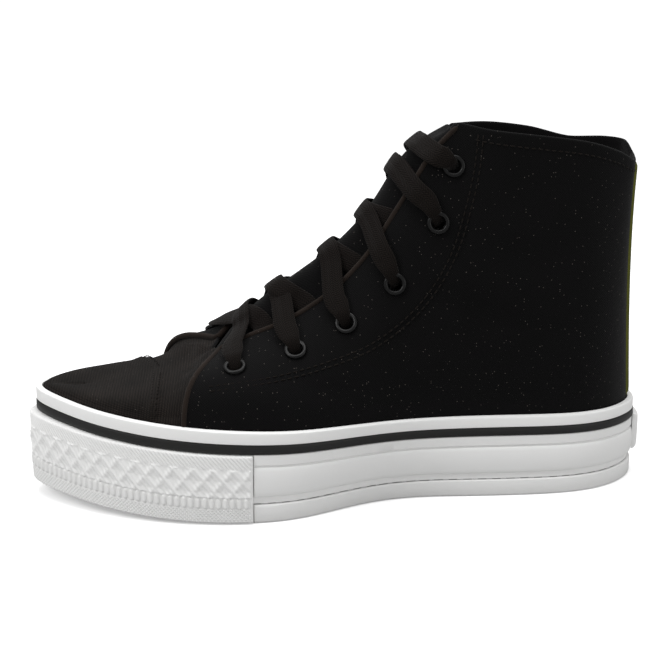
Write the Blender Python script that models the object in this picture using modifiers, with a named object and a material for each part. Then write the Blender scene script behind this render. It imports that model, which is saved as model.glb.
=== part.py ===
"""High top canvas sneaker, left foot, on a thick vulcanised rubber sole.

Metres, +Z up. The toe points to -X, the outer side of the foot is at -Y and the
inner side at +Y. The shoe stands on Z = 0 with the middle of its box over the origin.
"""

from typing import NamedTuple

import bmesh
import bpy
import numpy as np
from mathutils import Matrix, Vector

# Driving sizes of the sole
SOLE_LENGTH = 0.254
BALL_WIDTH = 0.098
HEEL_WIDTH = 0.067
HEEL_WALL = 0.0343
BALL_WALL = 0.0391
TOE_WALL = 0.0412
TOE_SPRING = 0.0055
WAIST_UNDERCUT = 0.0060
BOTTOM_UNDERCUT = 0.0008
TREAD_DEPTH = 0.0015
TREAD_RIM = 0.0060
FOXING_THICKNESS = 0.0026
FOXING_LAP = 0.0100
GROOVE_DEPTH = 0.0009
BAND_RECESS = 0.0013
PANEL_BULGE = 0.0005
STRIPE_DEPTH = 0.0011
STRIPE_PROUD = 0.0002

# Toe bumper and heel label
BUMPER_SEAT = 0.0013
BUMPER_PROUD = 0.0011
BUMPER_TOE_PROUD = 0.0030
LABEL_WIDTH = 0.0220
LABEL_HEIGHT = 0.0160
LABEL_THICKNESS = 0.0026
# Height of the label's middle, as a share of the sole's wall
LABEL_MIDDLE = 0.555

# Driving sizes of the upper
SHAFT_HEIGHT = 0.1220
COLLAR_WIDTH = 0.0530
THROAT_WIDTH = 0.0310
WALL = 0.0018
VAMP_STEP = 0.0013
CAP_STEP = 0.0005
STAY_WIDTH = 0.0190
STAY_THICKNESS = 0.0010

# Insole, tongue, eyelets and lace
INSOLE_THICKNESS = 0.0040
TONGUE_THICKNESS = 0.0028
TONGUE_CLEARANCE = 0.0010
EYELET_DIAMETER = 0.0094
EYELET_HOLE = 0.0058
EYELET_THICKNESS = 0.0009
LACE_WIDTH = 0.0092
LACE_THICKNESS = 0.0013

# Clearance between pieces that touch on the real shoe
GAP = 0.0003
# Gaps between the foxing and the upper's foot, which the faces' chords narrow at the toe
FOOT_GAPS = 1.8

# Numbers of faces along and across the larger pieces
OUTLINE_STEPS = 26
TOE_STEPS = 12


class OutlineRow(NamedTuple):
    """One point of the sole's plan: share of the length from the heel, share of a width."""
    station: float
    side: float
    width: float


# Where the tip of the toe lies, as a share of the sole's length from the heel
TOE_STATION = 1.018
# The plan of the sole from the heel, round the outer side to the toe, and back
HEEL_ROUND = ((0.000, 0.000), (0.012, 0.185), (0.031, 0.285), (0.067, 0.400), (0.122, 0.483), (0.213, 0.505))
OUTER_PLAN = [OutlineRow(station, -side, HEEL_WIDTH) for station, side in HEEL_ROUND] + [
    OutlineRow(0.319, -0.501, HEEL_WIDTH),
    OutlineRow(0.421, -0.365, BALL_WIDTH),
    OutlineRow(0.524, -0.439, BALL_WIDTH),
    OutlineRow(0.618, -0.508, BALL_WIDTH),
    OutlineRow(0.705, -0.512, BALL_WIDTH),
    OutlineRow(0.791, -0.466, BALL_WIDTH),
    OutlineRow(0.866, -0.380, BALL_WIDTH),
    OutlineRow(0.931, -0.258, BALL_WIDTH),
    OutlineRow(0.985, -0.110, BALL_WIDTH),
]
INNER_PLAN = [
    OutlineRow(TOE_STATION, 0.060, BALL_WIDTH),
    OutlineRow(0.992, 0.218, BALL_WIDTH),
    OutlineRow(0.931, 0.356, BALL_WIDTH),
    OutlineRow(0.839, 0.447, BALL_WIDTH),
    OutlineRow(0.744, 0.478, BALL_WIDTH),
    OutlineRow(0.642, 0.444, BALL_WIDTH),
    OutlineRow(0.531, 0.367, BALL_WIDTH),
    OutlineRow(0.421, 0.321, BALL_WIDTH),
    OutlineRow(0.319, 0.478, HEEL_WIDTH),
] + [OutlineRow(station, side, HEEL_WIDTH) for station, side in HEEL_ROUND[:0:-1]]

# Heights on the sole's wall, as shares of it from the ground
OUTSOLE_TOP = 0.205
RECESS_TOP = 0.295
PANEL_TOP = 0.620
GROOVE_TOP = 0.640
STRIPE_LOW = 0.765
STRIPE_HIGH = 0.860
BUMPER_LOW = 0.015

# Where the toe bumper ends, as a share of each half of the outline from the heel
BUMPER_END = 0.640


class Band(NamedTuple):
    """An edge of a band on the toe bumper: level on the wall, share of the full thickness."""
    level: float
    proud: float


BUMPER_BANDS = (
    Band(BUMPER_LOW, 0.6),
    Band(0.045, 1.0),
    Band(0.175, 1.0),
    Band(0.190, 0.7),
    Band(0.205, 1.0),
    Band(0.335, 1.0),
    Band(0.350, 0.7),
    Band(0.640, 0.7),
    Band(0.655, 1.0),
    Band(STRIPE_LOW - 0.030, 0.9),
    Band(STRIPE_LOW - 0.015, 0.4),
)


class Section(NamedTuple):
    """One section of the upper, from its foot on the sole's outline to its top edge.

    foot is a share of the half outline from heel to toe. along, side and rise place the
    top edge, as shares of the sole's length from the heel, of half a width and of the
    shaft's height. low and high are the lengths of the two handles of the section's
    curve, as shares of its chord. lean tips the lower handle outwards. drop and sweep
    turn the upper handle, in degrees: drop below level, sweep from straight across
    towards the toe.
    """
    foot: float
    along: float
    side: float
    rise: float
    low: float
    lean: float
    high: float
    drop: float
    sweep: float


# The upper's outer half. Sides are shares of half the collar's or half the throat's width.
OUTER_SECTIONS = (
    Section(0.000, 0.010, 0.00, 0.858, 0.33, -0.05, 0.30, 95, -90),
    Section(0.062, 0.022, 0.42, 0.852, 0.33, -0.03, 0.30, 94, -60),
    Section(0.108, 0.060, 0.74, 0.893, 0.35, 0.00, 0.30, 92, -35),
    Section(0.160, 0.120, 0.95, 0.934, 0.36, 0.04, 0.30, 91, -12),
    Section(0.233, 0.205, 1.00, 0.961, 0.36, 0.06, 0.30, 90, 0),
    Section(0.300, 0.280, 0.89, 0.980, 0.35, 0.05, 0.28, 84, 5),
    Section(0.335, 0.327, 1.09, 1.000, 0.33, 0.04, 0.28, 74, 8),
    Section(0.372, 0.368, 1.04, 0.911, 0.33, 0.03, 0.28, 66, 8),
    Section(0.425, 0.425, 0.99, 0.723, 0.36, 0.00, 0.30, 60, 8),
    Section(0.480, 0.484, 0.97, 0.541, 0.40, 0.00, 0.32, 54, 8),
    Section(0.535, 0.547, 0.99, 0.420, 0.42, -0.05, 0.34, 47, 10),
    Section(0.598, 0.614, 1.03, 0.340, 0.45, -0.10, 0.36, 38, 14),
    Section(0.657, 0.669, 0.94, 0.294, 0.50, -0.15, 0.40, 28, 20),
    Section(0.735, 0.716, 0.62, 0.243, 0.50, -0.10, 0.38, 12, 26),
    Section(0.744, 0.728, 0.00, 0.226, 0.26, -0.10, 0.42, 0, 26),
    Section(0.760, 0.768, 0.00, 0.178, 0.26, -0.10, 0.46, 0, 14),
    Section(0.780, 0.819, 0.00, 0.151, 0.26, -0.10, 0.50, 0, 4),
    Section(0.830, 0.862, 0.00, 0.139, 0.26, -0.10, 0.50, 2, 8),
    Section(0.900, 0.902, 0.00, 0.127, 0.26, -0.10, 0.48, 5, 30),
    Section(0.955, 0.925, 0.00, 0.120, 0.26, -0.05, 0.44, 9, 58),
    Section(1.000, 0.939, 0.00, 0.114, 0.26, 0.00, 0.42, 12, 90),
)
INNER_SECTIONS = (
    Section(0.000, 0.010, 0.00, 0.858, 0.33, -0.05, 0.30, 95, -90),
    Section(0.064, 0.014, 0.36, 0.895, 0.33, -0.03, 0.30, 94, -60),
    Section(0.112, 0.040, 0.66, 0.899, 0.35, 0.00, 0.30, 92, -35),
    Section(0.166, 0.091, 0.88, 0.895, 0.36, 0.04, 0.30, 91, -12),
    Section(0.242, 0.170, 1.00, 0.932, 0.36, 0.06, 0.30, 90, 0),
    Section(0.310, 0.252, 0.90, 0.955, 0.35, 0.05, 0.28, 84, 5),
    Section(0.346, 0.312, 1.09, 0.960, 0.33, 0.04, 0.28, 74, 8),
    Section(0.386, 0.366, 1.04, 0.885, 0.33, 0.03, 0.28, 66, 8),
    Section(0.440, 0.425, 0.99, 0.715, 0.36, 0.00, 0.30, 60, 8),
    Section(0.498, 0.484, 0.97, 0.534, 0.40, 0.00, 0.32, 54, 8),
    Section(0.555, 0.547, 0.97, 0.424, 0.42, -0.05, 0.34, 47, 10),
    Section(0.614, 0.614, 0.99, 0.352, 0.45, -0.10, 0.36, 38, 14),
    Section(0.675, 0.674, 0.93, 0.306, 0.50, -0.15, 0.40, 28, 20),
    Section(0.750, 0.714, 0.66, 0.238, 0.50, -0.10, 0.38, 10, 24),
    Section(0.759, 0.728, 0.00, 0.226, 0.26, -0.10, 0.42, 0, 24),
    Section(0.773, 0.768, 0.00, 0.178, 0.26, -0.10, 0.46, 0, 12),
    Section(0.793, 0.819, 0.00, 0.151, 0.26, -0.10, 0.50, 0, 2),
    Section(0.855, 0.862, 0.00, 0.139, 0.26, -0.10, 0.50, 2, 8),
    Section(0.915, 0.902, 0.00, 0.127, 0.26, -0.10, 0.48, 5, 30),
    Section(0.962, 0.925, 0.00, 0.120, 0.26, -0.05, 0.44, 9, 58),
    Section(1.000, 0.939, 0.00, 0.114, 0.26, 0.00, 0.42, 12, 90),
)
# Rows of the tables above where the top edge turns a corner
COLLAR_CORNER = 6
THROAT_FRONT = 13
VAMP_REAR = 14
CAP_EDGE = 16
TOE_TIP = 20
CORNERS = (0, COLLAR_CORNER, THROAT_FRONT, VAMP_REAR, TOE_TIP)
# Height of the tongue's crest above the throat's edges, from the collar's corner to the
# throat's front, as shares of the shaft's height
TONGUE_RISE = (-0.020, 0.050, 0.135, 0.135, 0.131, 0.113, 0.066, 0.030)
TONGUE_REACH = (0.0, 0.006, 0.013)
TONGUE_RISE_HANDLE = 0.6
TONGUE_CREST_HANDLE = 0.55
TONGUE_ROWS = 13
TONGUE_ARCH = 4


class Eyelet(NamedTuple):
    """An eyelet's place: row of the tables, climb up the section, and its lace's rows.

    The lace leaves the quarter at row edge and passes over the tongue's crest at row crest.
    """
    row: float
    climb: float
    edge: float
    crest: float


EYELETS = (
    Eyelet(12.18, 0.582, 12.45, 12.10),
    Eyelet(10.66, 0.647, 11.00, 11.10),
    Eyelet(9.42, 0.657, 9.80, 9.80),
    Eyelet(8.10, 0.630, 8.60, 8.85),
    Eyelet(6.88, 0.698, 7.70, 8.00),
    Eyelet(6.24, 0.860, 7.15, 7.40),
)
EYELET_SIDES = 10
EYELET_SEAT = 0.0005
# Shares of the way from an eyelet to the throat's edge, and across the tongue, where a lace bends
LACE_RUN = (0.0, 0.35, 0.7, 1.0)
LACE_ACROSS = (0.125, 0.25, 0.375, 0.5, 0.625, 0.75, 0.875, 0.94)
LACE_LANDING = 0.55
LACE_RISE = 0.001
# Share of the way across over which the upper lace comes down, and gaps under a lace
LACE_FALL = 0.2
LACE_CLEAR = 1.5
# Gaps between an eyelet and the lace over it
LACE_OVER_RING = 5
LACE_BAR_RISE = 0.0006
# The half whose lace lies on top at each crossing, from the toe: -1 outer, 1 inner
LACES_OVER = (-1, 1, -1, -1, -1)

# The heel stay's ends, as shares of the section at the heel
STAY_LOW = 0.02
STAY_HIGH = 0.985
STAY_ROWS = 8
STAY_COLUMNS = 3
# How far the ridge of the vamp lies towards the inner side at the toe, of the ball width
RIDGE_SWING = 0.035
# Columns of faces between the rows of the tables, heel to toe
COLUMNS = (2, 2, 2, 2, 2, 2, 2, 2, 2, 2, 2, 2, 3, 1, 2, 2, 2, 3, 3, 3)
# Rows of faces up the lapped foot of the wall and up the rest of it
LAP_ROWS = 1
CURVE_ROWS = 7
# Share of a section's curve over which the steps in the wall fade to nothing at the foxing
STEP_FADE = 0.1
# Rows of the tables over which the wall steps down at the toe cap and at the quarters' edge
CAP_EASE = 0.04
QUARTER_EASE = 0.06


def monotone(xs: np.ndarray, ys: np.ndarray, at: np.ndarray) -> np.ndarray:
    """Values of the cubic through the points that never overshoots them."""
    xs, ys, at = np.asarray(xs, float), np.asarray(ys, float), np.asarray(at, float)
    run, slope = np.diff(xs), np.diff(ys) / np.diff(xs)
    tangent = np.zeros(len(xs))
    tangent[0], tangent[-1] = slope[0], slope[-1]
    same = slope[:-1] * slope[1:] > 0
    weight_a, weight_b = 2 * run[1:] + run[:-1], run[1:] + 2 * run[:-1]
    safe_a = np.where(same, slope[:-1], 1.0)
    safe_b = np.where(same, slope[1:], 1.0)
    mean = (weight_a + weight_b) / (weight_a / safe_a + weight_b / safe_b)
    tangent[1:-1] = np.where(same, mean, 0.0)
    cell = np.clip(np.searchsorted(xs, at, side="right") - 1, 0, len(xs) - 2)
    t = (at - xs[cell]) / run[cell]
    start = ys[cell] * (1 + 2 * t) * (1 - t) ** 2 + tangent[cell] * run[cell] * t * (1 - t) ** 2
    end = ys[cell + 1] * t ** 2 * (3 - 2 * t) + tangent[cell + 1] * run[cell] * t ** 2 * (t - 1)
    return start + end


def closed_spline(points: np.ndarray, steps: int) -> np.ndarray:
    """Points along the closed cubic spline through the given points, steps for each span."""
    count = len(points)
    chord = np.linalg.norm(np.roll(points, -1, axis=0) - points, axis=1)
    system = np.zeros((count, count))
    right = np.zeros((count, 2))
    for i in range(count):
        before, after = chord[i - 1], chord[i]
        system[i, i - 1], system[i, i] = after, 2 * (before + after)
        system[i, (i + 1) % count] = before
        here, last, following = points[i], points[i - 1], points[(i + 1) % count]
        right[i] = 3 * (after * (here - last) / before + before * (following - here) / after)
    tangent = np.linalg.solve(system, right)
    out = []
    for i in range(count):
        j = (i + 1) % count
        t = np.arange(steps)[:, None] / steps
        out.append(
            points[i] * (1 + 2 * t) * (1 - t) ** 2 + tangent[i] * chord[i] * t * (1 - t) ** 2
            + points[j] * t ** 2 * (3 - 2 * t) + tangent[j] * chord[i] * t ** 2 * (t - 1))
    return np.concatenate(out)


def sole_x(station: float) -> float:
    """X of a share of the sole's length from the heel."""
    return SOLE_LENGTH * (0.5 - station)


class Plan:
    """The sole's plan as a curve: share 0 at the heel, 1 at the toe, on either side."""

    def __init__(self) -> None:
        rows = OUTER_PLAN + INNER_PLAN
        knots = np.array([(sole_x(row.station), row.side * row.width) for row in rows])
        steps = 24
        curve = closed_spline(knots, steps)
        ring = np.concatenate([curve, curve[:1]])
        length = np.concatenate([[0], np.cumsum(np.linalg.norm(np.diff(ring, axis=0), axis=1))])
        toe = len(OUTER_PLAN) * steps
        share = np.where(np.arange(len(ring)) <= toe, length / length[toe],
                         1 - (length - length[toe]) / (length[-1] - length[toe]))
        ahead, behind = np.roll(curve, -1, axis=0), np.roll(curve, 1, axis=0)
        along = ahead - behind
        out = np.stack([-along[:, 1], along[:, 0]], axis=1)
        out /= np.linalg.norm(out, axis=1)[:, None]
        out = np.concatenate([out, out[:1]])
        self.halves = {
            -1: (share[:toe + 1], ring[:toe + 1], out[:toe + 1]),
            1: (share[toe:][::-1], ring[toe:][::-1], out[toe:][::-1]),
        }

    def at(self, side: int, share: np.ndarray) -> tuple[np.ndarray, np.ndarray]:
        """Points of the plan and its outward directions at shares of one side."""
        shares, ring, out = self.halves[side]
        point = np.stack([np.interp(share, shares, ring[:, k]) for k in (0, 1)], axis=-1)
        normal = np.stack([np.interp(share, shares, out[:, k]) for k in (0, 1)], axis=-1)
        return point, normal / np.linalg.norm(normal, axis=-1, keepdims=True)


PLAN = Plan()


def ground(x: np.ndarray) -> np.ndarray:
    """Height of the sole's bottom: flat, then rising under the toe."""
    start, end = sole_x(0.68), sole_x(TOE_STATION)
    return TOE_SPRING * np.clip((start - x) / (start - end), 0, 1) ** 2.2


def wall_top(x: np.ndarray) -> np.ndarray:
    """Height of the foxing's upper edge."""
    stations = [sole_x(share) for share in (TOE_STATION, 0.92, 0.70, 0.47, 0.26, 0.0)]
    mid = HEEL_WALL + 0.48 * (BALL_WALL - HEEL_WALL)
    rear = HEEL_WALL + 0.25 * (BALL_WALL - HEEL_WALL)
    toe = TOE_WALL + TOE_SPRING
    near_toe = 0.45 * BALL_WALL + 0.55 * toe
    return monotone(stations, [toe, near_toe, BALL_WALL, mid, rear, HEEL_WALL], x)


def waist(x: np.ndarray) -> np.ndarray:
    """1 at the narrowest part of the sole, 0 at the ball and the heel."""
    return np.exp(-((x - sole_x(0.45)) / (0.13 * SOLE_LENGTH)) ** 2)


def wall_point(side: int, share: np.ndarray, level: np.ndarray, depth: np.ndarray) -> np.ndarray:
    """Points on the sole's wall.

    level is a share of the wall's height from the ground and depth how far the point
    lies inside the plan, on top of the wall's own undercut.
    """
    point, out = PLAN.at(side, share)
    low, high = ground(point[:, 0]), wall_top(point[:, 0])
    inset = depth + (1 - level) * (BOTTOM_UNDERCUT + WAIST_UNDERCUT * waist(point[:, 0]))
    flat = point - out * np.broadcast_to(inset, len(point))[:, None]
    return np.column_stack([flat, low + level * (high - low)])


def ring_shares() -> np.ndarray:
    """Shares of the half outline, heel to toe, closer where the toe bumper ends."""
    rear = (BUMPER_END - 0.002) * np.linspace(0, 1, OUTLINE_STEPS) ** 1.25
    front = np.linspace(BUMPER_END, 1, TOE_STEPS + 1)
    return np.concatenate([rear, front])


def ring(depth_of, level: float) -> np.ndarray:
    """One closed loop of wall points, outer side heel to toe and back along the inner side."""
    shares = ring_shares()
    outer = wall_point(-1, shares, level, depth_of(shares))
    inner = wall_point(1, shares, level, depth_of(shares))
    return np.concatenate([outer, inner[-2:0:-1]])


def under_bumper(shares: np.ndarray) -> np.ndarray:
    """True where the toe bumper covers the wall."""
    return shares >= BUMPER_END - 1e-9


def material(name: str, colour: tuple, roughness: float, metallic: float = 0.0):
    """A plain Principled material."""
    made = bpy.data.materials.new(name)
    made.use_nodes = True
    shader = made.node_tree.nodes["Principled BSDF"]
    shader.inputs["Base Color"].default_value = (*colour, 1.0)
    shader.inputs["Roughness"].default_value = roughness
    shader.inputs["Metallic"].default_value = metallic
    return made


def add_object(name: str, bm: bmesh.types.BMesh, collection, finish):
    """Make an object of a closed or open bmesh, with its faces pointing out."""
    bmesh.ops.remove_doubles(bm, verts=bm.verts, dist=1e-6)
    if all(edge.is_manifold for edge in bm.edges) and bm.calc_volume(signed=True) < 0:
        bmesh.ops.reverse_faces(bm, faces=bm.faces)
    mesh = bpy.data.meshes.new(name)
    bm.to_mesh(mesh)
    bm.free()
    mesh.materials.append(finish)
    mesh.shade_smooth()
    mesh.set_sharp_from_angle(angle=np.radians(40))
    made = bpy.data.objects.new(name, mesh)
    collection.objects.link(made)
    return made


def loft(loops: list, cap_first: bool = True, cap_last: bool = True) -> bmesh.types.BMesh:
    """Join closed loops of equal length with quads; cap ends straight across like a ladder."""
    bm = bmesh.new()
    rows = [[bm.verts.new(point) for point in loop] for loop in loops]
    count = len(rows[0])
    for low, high in zip(rows, rows[1:]):
        for i in range(count):
            j = (i + 1) % count
            bm.faces.new((low[i], low[j], high[j], high[i]))
    for wanted, row in ((cap_first, rows[0]), (cap_last, rows[-1])):
        if not wanted:
            continue
        half = count // 2
        flip = -1 if row is rows[0] else 1
        bm.faces.new((row[0], row[1], row[-1])[::flip])
        for i in range(1, half - 1):
            bm.faces.new((row[i], row[i + 1], row[-i - 1], row[-i])[::flip])
        bm.faces.new((row[half - 1], row[half], row[half + 1])[::flip])
    return bm


def build_outsole(collection, finish):
    """Bottom rubber: a slab with a flat rim round bars of tread."""
    def side_depth(shares):
        return np.where(under_bumper(shares), BUMPER_SEAT, 0.0)

    def rim_depth(shares):
        return np.full(len(shares), TREAD_RIM)

    edge = ring(side_depth, 0.0)
    rim = ring(rim_depth, 0.0)
    tread = ring(lambda shares: rim_depth(shares) + TREAD_DEPTH, 0.0)
    half = len(tread) // 2
    for i in range(len(tread)):
        step = min(i, len(tread) - i)
        raised = step % 4 in (0, 1) and 1 < step < half - 1
        tread[i, 2] += 0.0 if raised else TREAD_DEPTH
    top = ring(side_depth, OUTSOLE_TOP - 0.01)
    lid = ring(lambda shares: side_depth(shares) + 0.0004, OUTSOLE_TOP)
    return add_object("outsole", loft([tread, rim, edge, top, lid]), collection, finish)


def build_midsole(collection, finish):
    """Rubber wall and platform: bands and grooves outside, a rim round the foot inside."""
    profile = (
        (OUTSOLE_TOP + 0.008, BAND_RECESS),
        (RECESS_TOP - 0.006, BAND_RECESS),
        (0.5 * (RECESS_TOP + PANEL_TOP), -PANEL_BULGE),
        (PANEL_TOP - 0.003, 0.2 * GROOVE_DEPTH),
        (PANEL_TOP + 0.003, GROOVE_DEPTH),
        (GROOVE_TOP, 0.0),
        (STRIPE_LOW - 0.010, 0.0),
        (STRIPE_LOW - 0.008, STRIPE_DEPTH),
        (STRIPE_HIGH + 0.008, STRIPE_DEPTH),
        (STRIPE_HIGH + 0.010, 0.0),
        (0.985, 0.0),
        (1.0, 0.0005),
    )

    def depth_at(level, depth):
        def depth_of(shares):
            covered = under_bumper(shares) & (level < STRIPE_LOW - 0.009)
            return np.where(covered, BUMPER_SEAT, depth)
        return depth_of

    loops = [ring(depth_at(level, depth), level) for level, depth in profile]
    inner = ring(lambda shares: np.full(len(shares), FOXING_THICKNESS), 1.0)
    floor = inner.copy()
    floor[:, 2] -= FOXING_LAP
    return add_object("midsole", loft(loops + [inner, floor]), collection, finish)


def build_stripe(collection, finish):
    """Dark line that lies in its slot all the way round the wall."""
    low, high = STRIPE_LOW, STRIPE_HIGH
    seat = STRIPE_DEPTH - GAP

    def loop(level, depth):
        return ring(lambda shares: np.full(len(shares), depth), level)

    loops = [loop(low, seat), loop(low, -STRIPE_PROUD), loop(high, -STRIPE_PROUD), loop(high, seat)]
    return add_object("foxing_stripe", loft(loops + loops[:1], False, False), collection, finish)


def build_bumper(collection, finish):
    """Rubber strip round the toe, thicker at its front, in four bands."""
    front = np.linspace(BUMPER_END, 1, TOE_STEPS + 1)
    shares = np.concatenate([front, front[-2::-1]])
    sides = np.array([-1] * len(front) + [1] * (len(front) - 1))
    towards_toe = np.clip((shares - BUMPER_END) / (1 - BUMPER_END), 0, 1) ** 3
    proud = BUMPER_PROUD + (BUMPER_TOE_PROUD - BUMPER_PROUD) * towards_toe
    proud[[0, -1]] *= 0.5

    def strip(level, depth):
        points = np.empty((len(shares), 3))
        for side in (-1, 1):
            pick = sides == side
            points[pick] = wall_point(side, shares[pick], level, depth[pick])
        return points

    seat = np.full(len(shares), BUMPER_SEAT - GAP)
    rows = [strip(band.level, -band.proud * proud) for band in BUMPER_BANDS]
    rows += [strip(BUMPER_BANDS[-1].level, seat), strip(BUMPER_BANDS[0].level, seat)]
    bm = bmesh.new()
    columns = [[bm.verts.new(row[i]) for row in rows] for i in range(len(shares))]
    for left, right in zip(columns, columns[1:]):
        for i in range(len(rows)):
            j = (i + 1) % len(rows)
            bm.faces.new((left[i], right[i], right[j], left[j]))
    bm.faces.new(columns[0])
    bm.faces.new(columns[-1][::-1])
    return add_object("toe_bumper", bm, collection, finish)


def build_label(collection, finish):
    """Blank tab on the back of the sole, following its curve."""
    half = 0.5 * LABEL_HEIGHT / HEEL_WALL
    sides = np.linspace(-LABEL_WIDTH / 2, LABEL_WIDTH / 2, 9)
    near_heel = np.linspace(0, 0.3, 121)
    reach, _ = PLAN.at(-1, near_heel)
    share_of = np.interp(np.abs(sides), np.abs(reach[:, 1]), near_heel)
    back = GAP + PANEL_BULGE
    edge, bevel = 0.75 * LABEL_THICKNESS, 0.8 * half
    profile = ((-half, back), (-half, edge), (-bevel, LABEL_THICKNESS),
               (bevel, LABEL_THICKNESS), (half, edge), (half, back))
    bm = bmesh.new()
    columns = []
    for side, share in zip(sides, share_of):
        which = -1 if side < 0 else 1
        corner = []
        for rise, proud in profile:
            spot = wall_point(which, np.array([share]), LABEL_MIDDLE + rise, np.array([-proud]))[0]
            corner.append(bm.verts.new(spot))
        columns.append(corner)
    for left, right in zip(columns, columns[1:]):
        for i in range(len(profile)):
            j = (i + 1) % len(profile)
            bm.faces.new((left[i], right[i], right[j], left[j]))
    bm.faces.new(columns[0])
    bm.faces.new(columns[-1][::-1])
    return add_object("heel_label", bm, collection, finish)


class Half:
    """The curves of one half of the upper."""

    def __init__(self, side: int, rows: tuple) -> None:
        self.side = side
        self.rows = np.array(rows)
        rank = np.arange(len(rows))
        width = np.where(rank < COLLAR_CORNER, COLLAR_WIDTH / 2, THROAT_WIDTH / 2)
        self.top = np.column_stack([
            sole_x(self.rows[:, 1]),
            side * width * self.rows[:, 2] + self.swing(),
            HEEL_WALL + SHAFT_HEIGHT * self.rows[:, 3],
        ])
        self.inset = FOXING_THICKNESS + FOOT_GAPS * GAP

    def swing(self) -> np.ndarray:
        """Sideways shift of the ridge of the vamp, towards the inner side at the toe."""
        share = np.clip((self.rows[:, 1] - 0.724) / (1 - 0.724), 0, 1)
        return RIDGE_SWING * BALL_WIDTH * share ** 0.8

    def value(self, column: int, u: np.ndarray, table: np.ndarray) -> np.ndarray:
        """A column of the table at fractional row numbers, with its corners kept."""
        out = np.empty(len(u))
        for first, last in zip(CORNERS, CORNERS[1:]):
            pick = (u >= first) & (u <= last)
            rank = np.arange(first, last + 1)
            out[pick] = monotone(rank, table[first:last + 1, column], u[pick])
        return out

    def surface(self, u: np.ndarray, rows: np.ndarray) -> np.ndarray:
        """Points of the outer face: one column for each u, one row for each t in rows.

        t from -1 to 0 climbs the lap inside the foxing, t from 0 to 1 follows the curve
        from the foxing's edge to the top edge.
        """
        foot = self.value(0, u, self.rows)
        point, out = PLAN.at(self.side, foot)
        base = point - out * self.inset
        edge = wall_top(point[:, 0])
        start = np.column_stack([base, edge])
        top = np.column_stack([self.value(k, u, self.top) for k in range(3)])
        chord = np.linalg.norm(top - start, axis=1)[:, None]
        low, lean, high, drop, sweep = (self.value(k, u, self.rows)[:, None] for k in range(4, 9))
        up = np.array([0.0, 0.0, 1.0])
        rise = up + lean * np.column_stack([out, np.zeros(len(u))])
        rise /= np.linalg.norm(rise, axis=1)[:, None]
        turn, fall = np.radians(sweep), np.radians(drop)
        level = np.column_stack([-np.sin(turn), self.side * np.cos(turn), np.zeros(len(u))])
        first = start + rise * low * chord
        second = top + (level * np.cos(fall) - up * np.sin(fall)) * high * chord
        t = np.clip(rows, 0, 1)[None, :, None]
        curve = (start[:, None] * (1 - t) ** 3 + 3 * first[:, None] * t * (1 - t) ** 2
                 + 3 * second[:, None] * t ** 2 * (1 - t) + top[:, None] * t ** 3)
        curve[:, :, 2] += np.minimum(rows, 0)[None, :] * (FOXING_LAP - GAP)
        return curve

    def normal(self, u: np.ndarray, rows: np.ndarray) -> np.ndarray:
        """Outward directions at the same points, by small steps both ways."""
        step = 0.02
        corners = np.array(CORNERS)
        stretch = np.clip(np.searchsorted(corners, u, side="left") - 1, 0, len(corners) - 2)
        ahead = self.surface(np.minimum(u + step, corners[stretch + 1]), rows)
        behind = self.surface(np.maximum(u - step, corners[stretch]), rows)
        above = self.surface(u, np.clip(rows + step, -1, 1))
        below = self.surface(u, np.clip(rows - step, -1, 1))
        out = np.cross(ahead - behind, above - below) * self.side
        length = np.linalg.norm(out, axis=2, keepdims=True)
        return out / np.maximum(length, 1e-12)

    def spots(self, u: np.ndarray, t: np.ndarray, lift: np.ndarray) -> np.ndarray:
        """Single points at pairs of u and t, lifted off the outer face."""
        out = []
        for one, share, height in zip(u, t, lift):
            column, rows = np.array([one]), np.array([share])
            out.append(self.surface(column, rows)[0, 0] + height * self.normal(column, rows)[0, 0])
        return np.array(out)

    def under_edge(self, u: np.ndarray, reach: float) -> np.ndarray:
        """Points a distance down from the top edge, where the tongue lies against the wall."""
        start = self.surface(u, np.array([0.0]))[:, 0]
        top = self.surface(u, np.array([1.0]))[:, 0]
        speed = 3 * self.value(6, u, self.rows) * np.linalg.norm(top - start, axis=1)
        return self.spots(u, 1 - reach / speed, np.full(len(u), -(WALL + TONGUE_CLEARANCE)))


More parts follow.
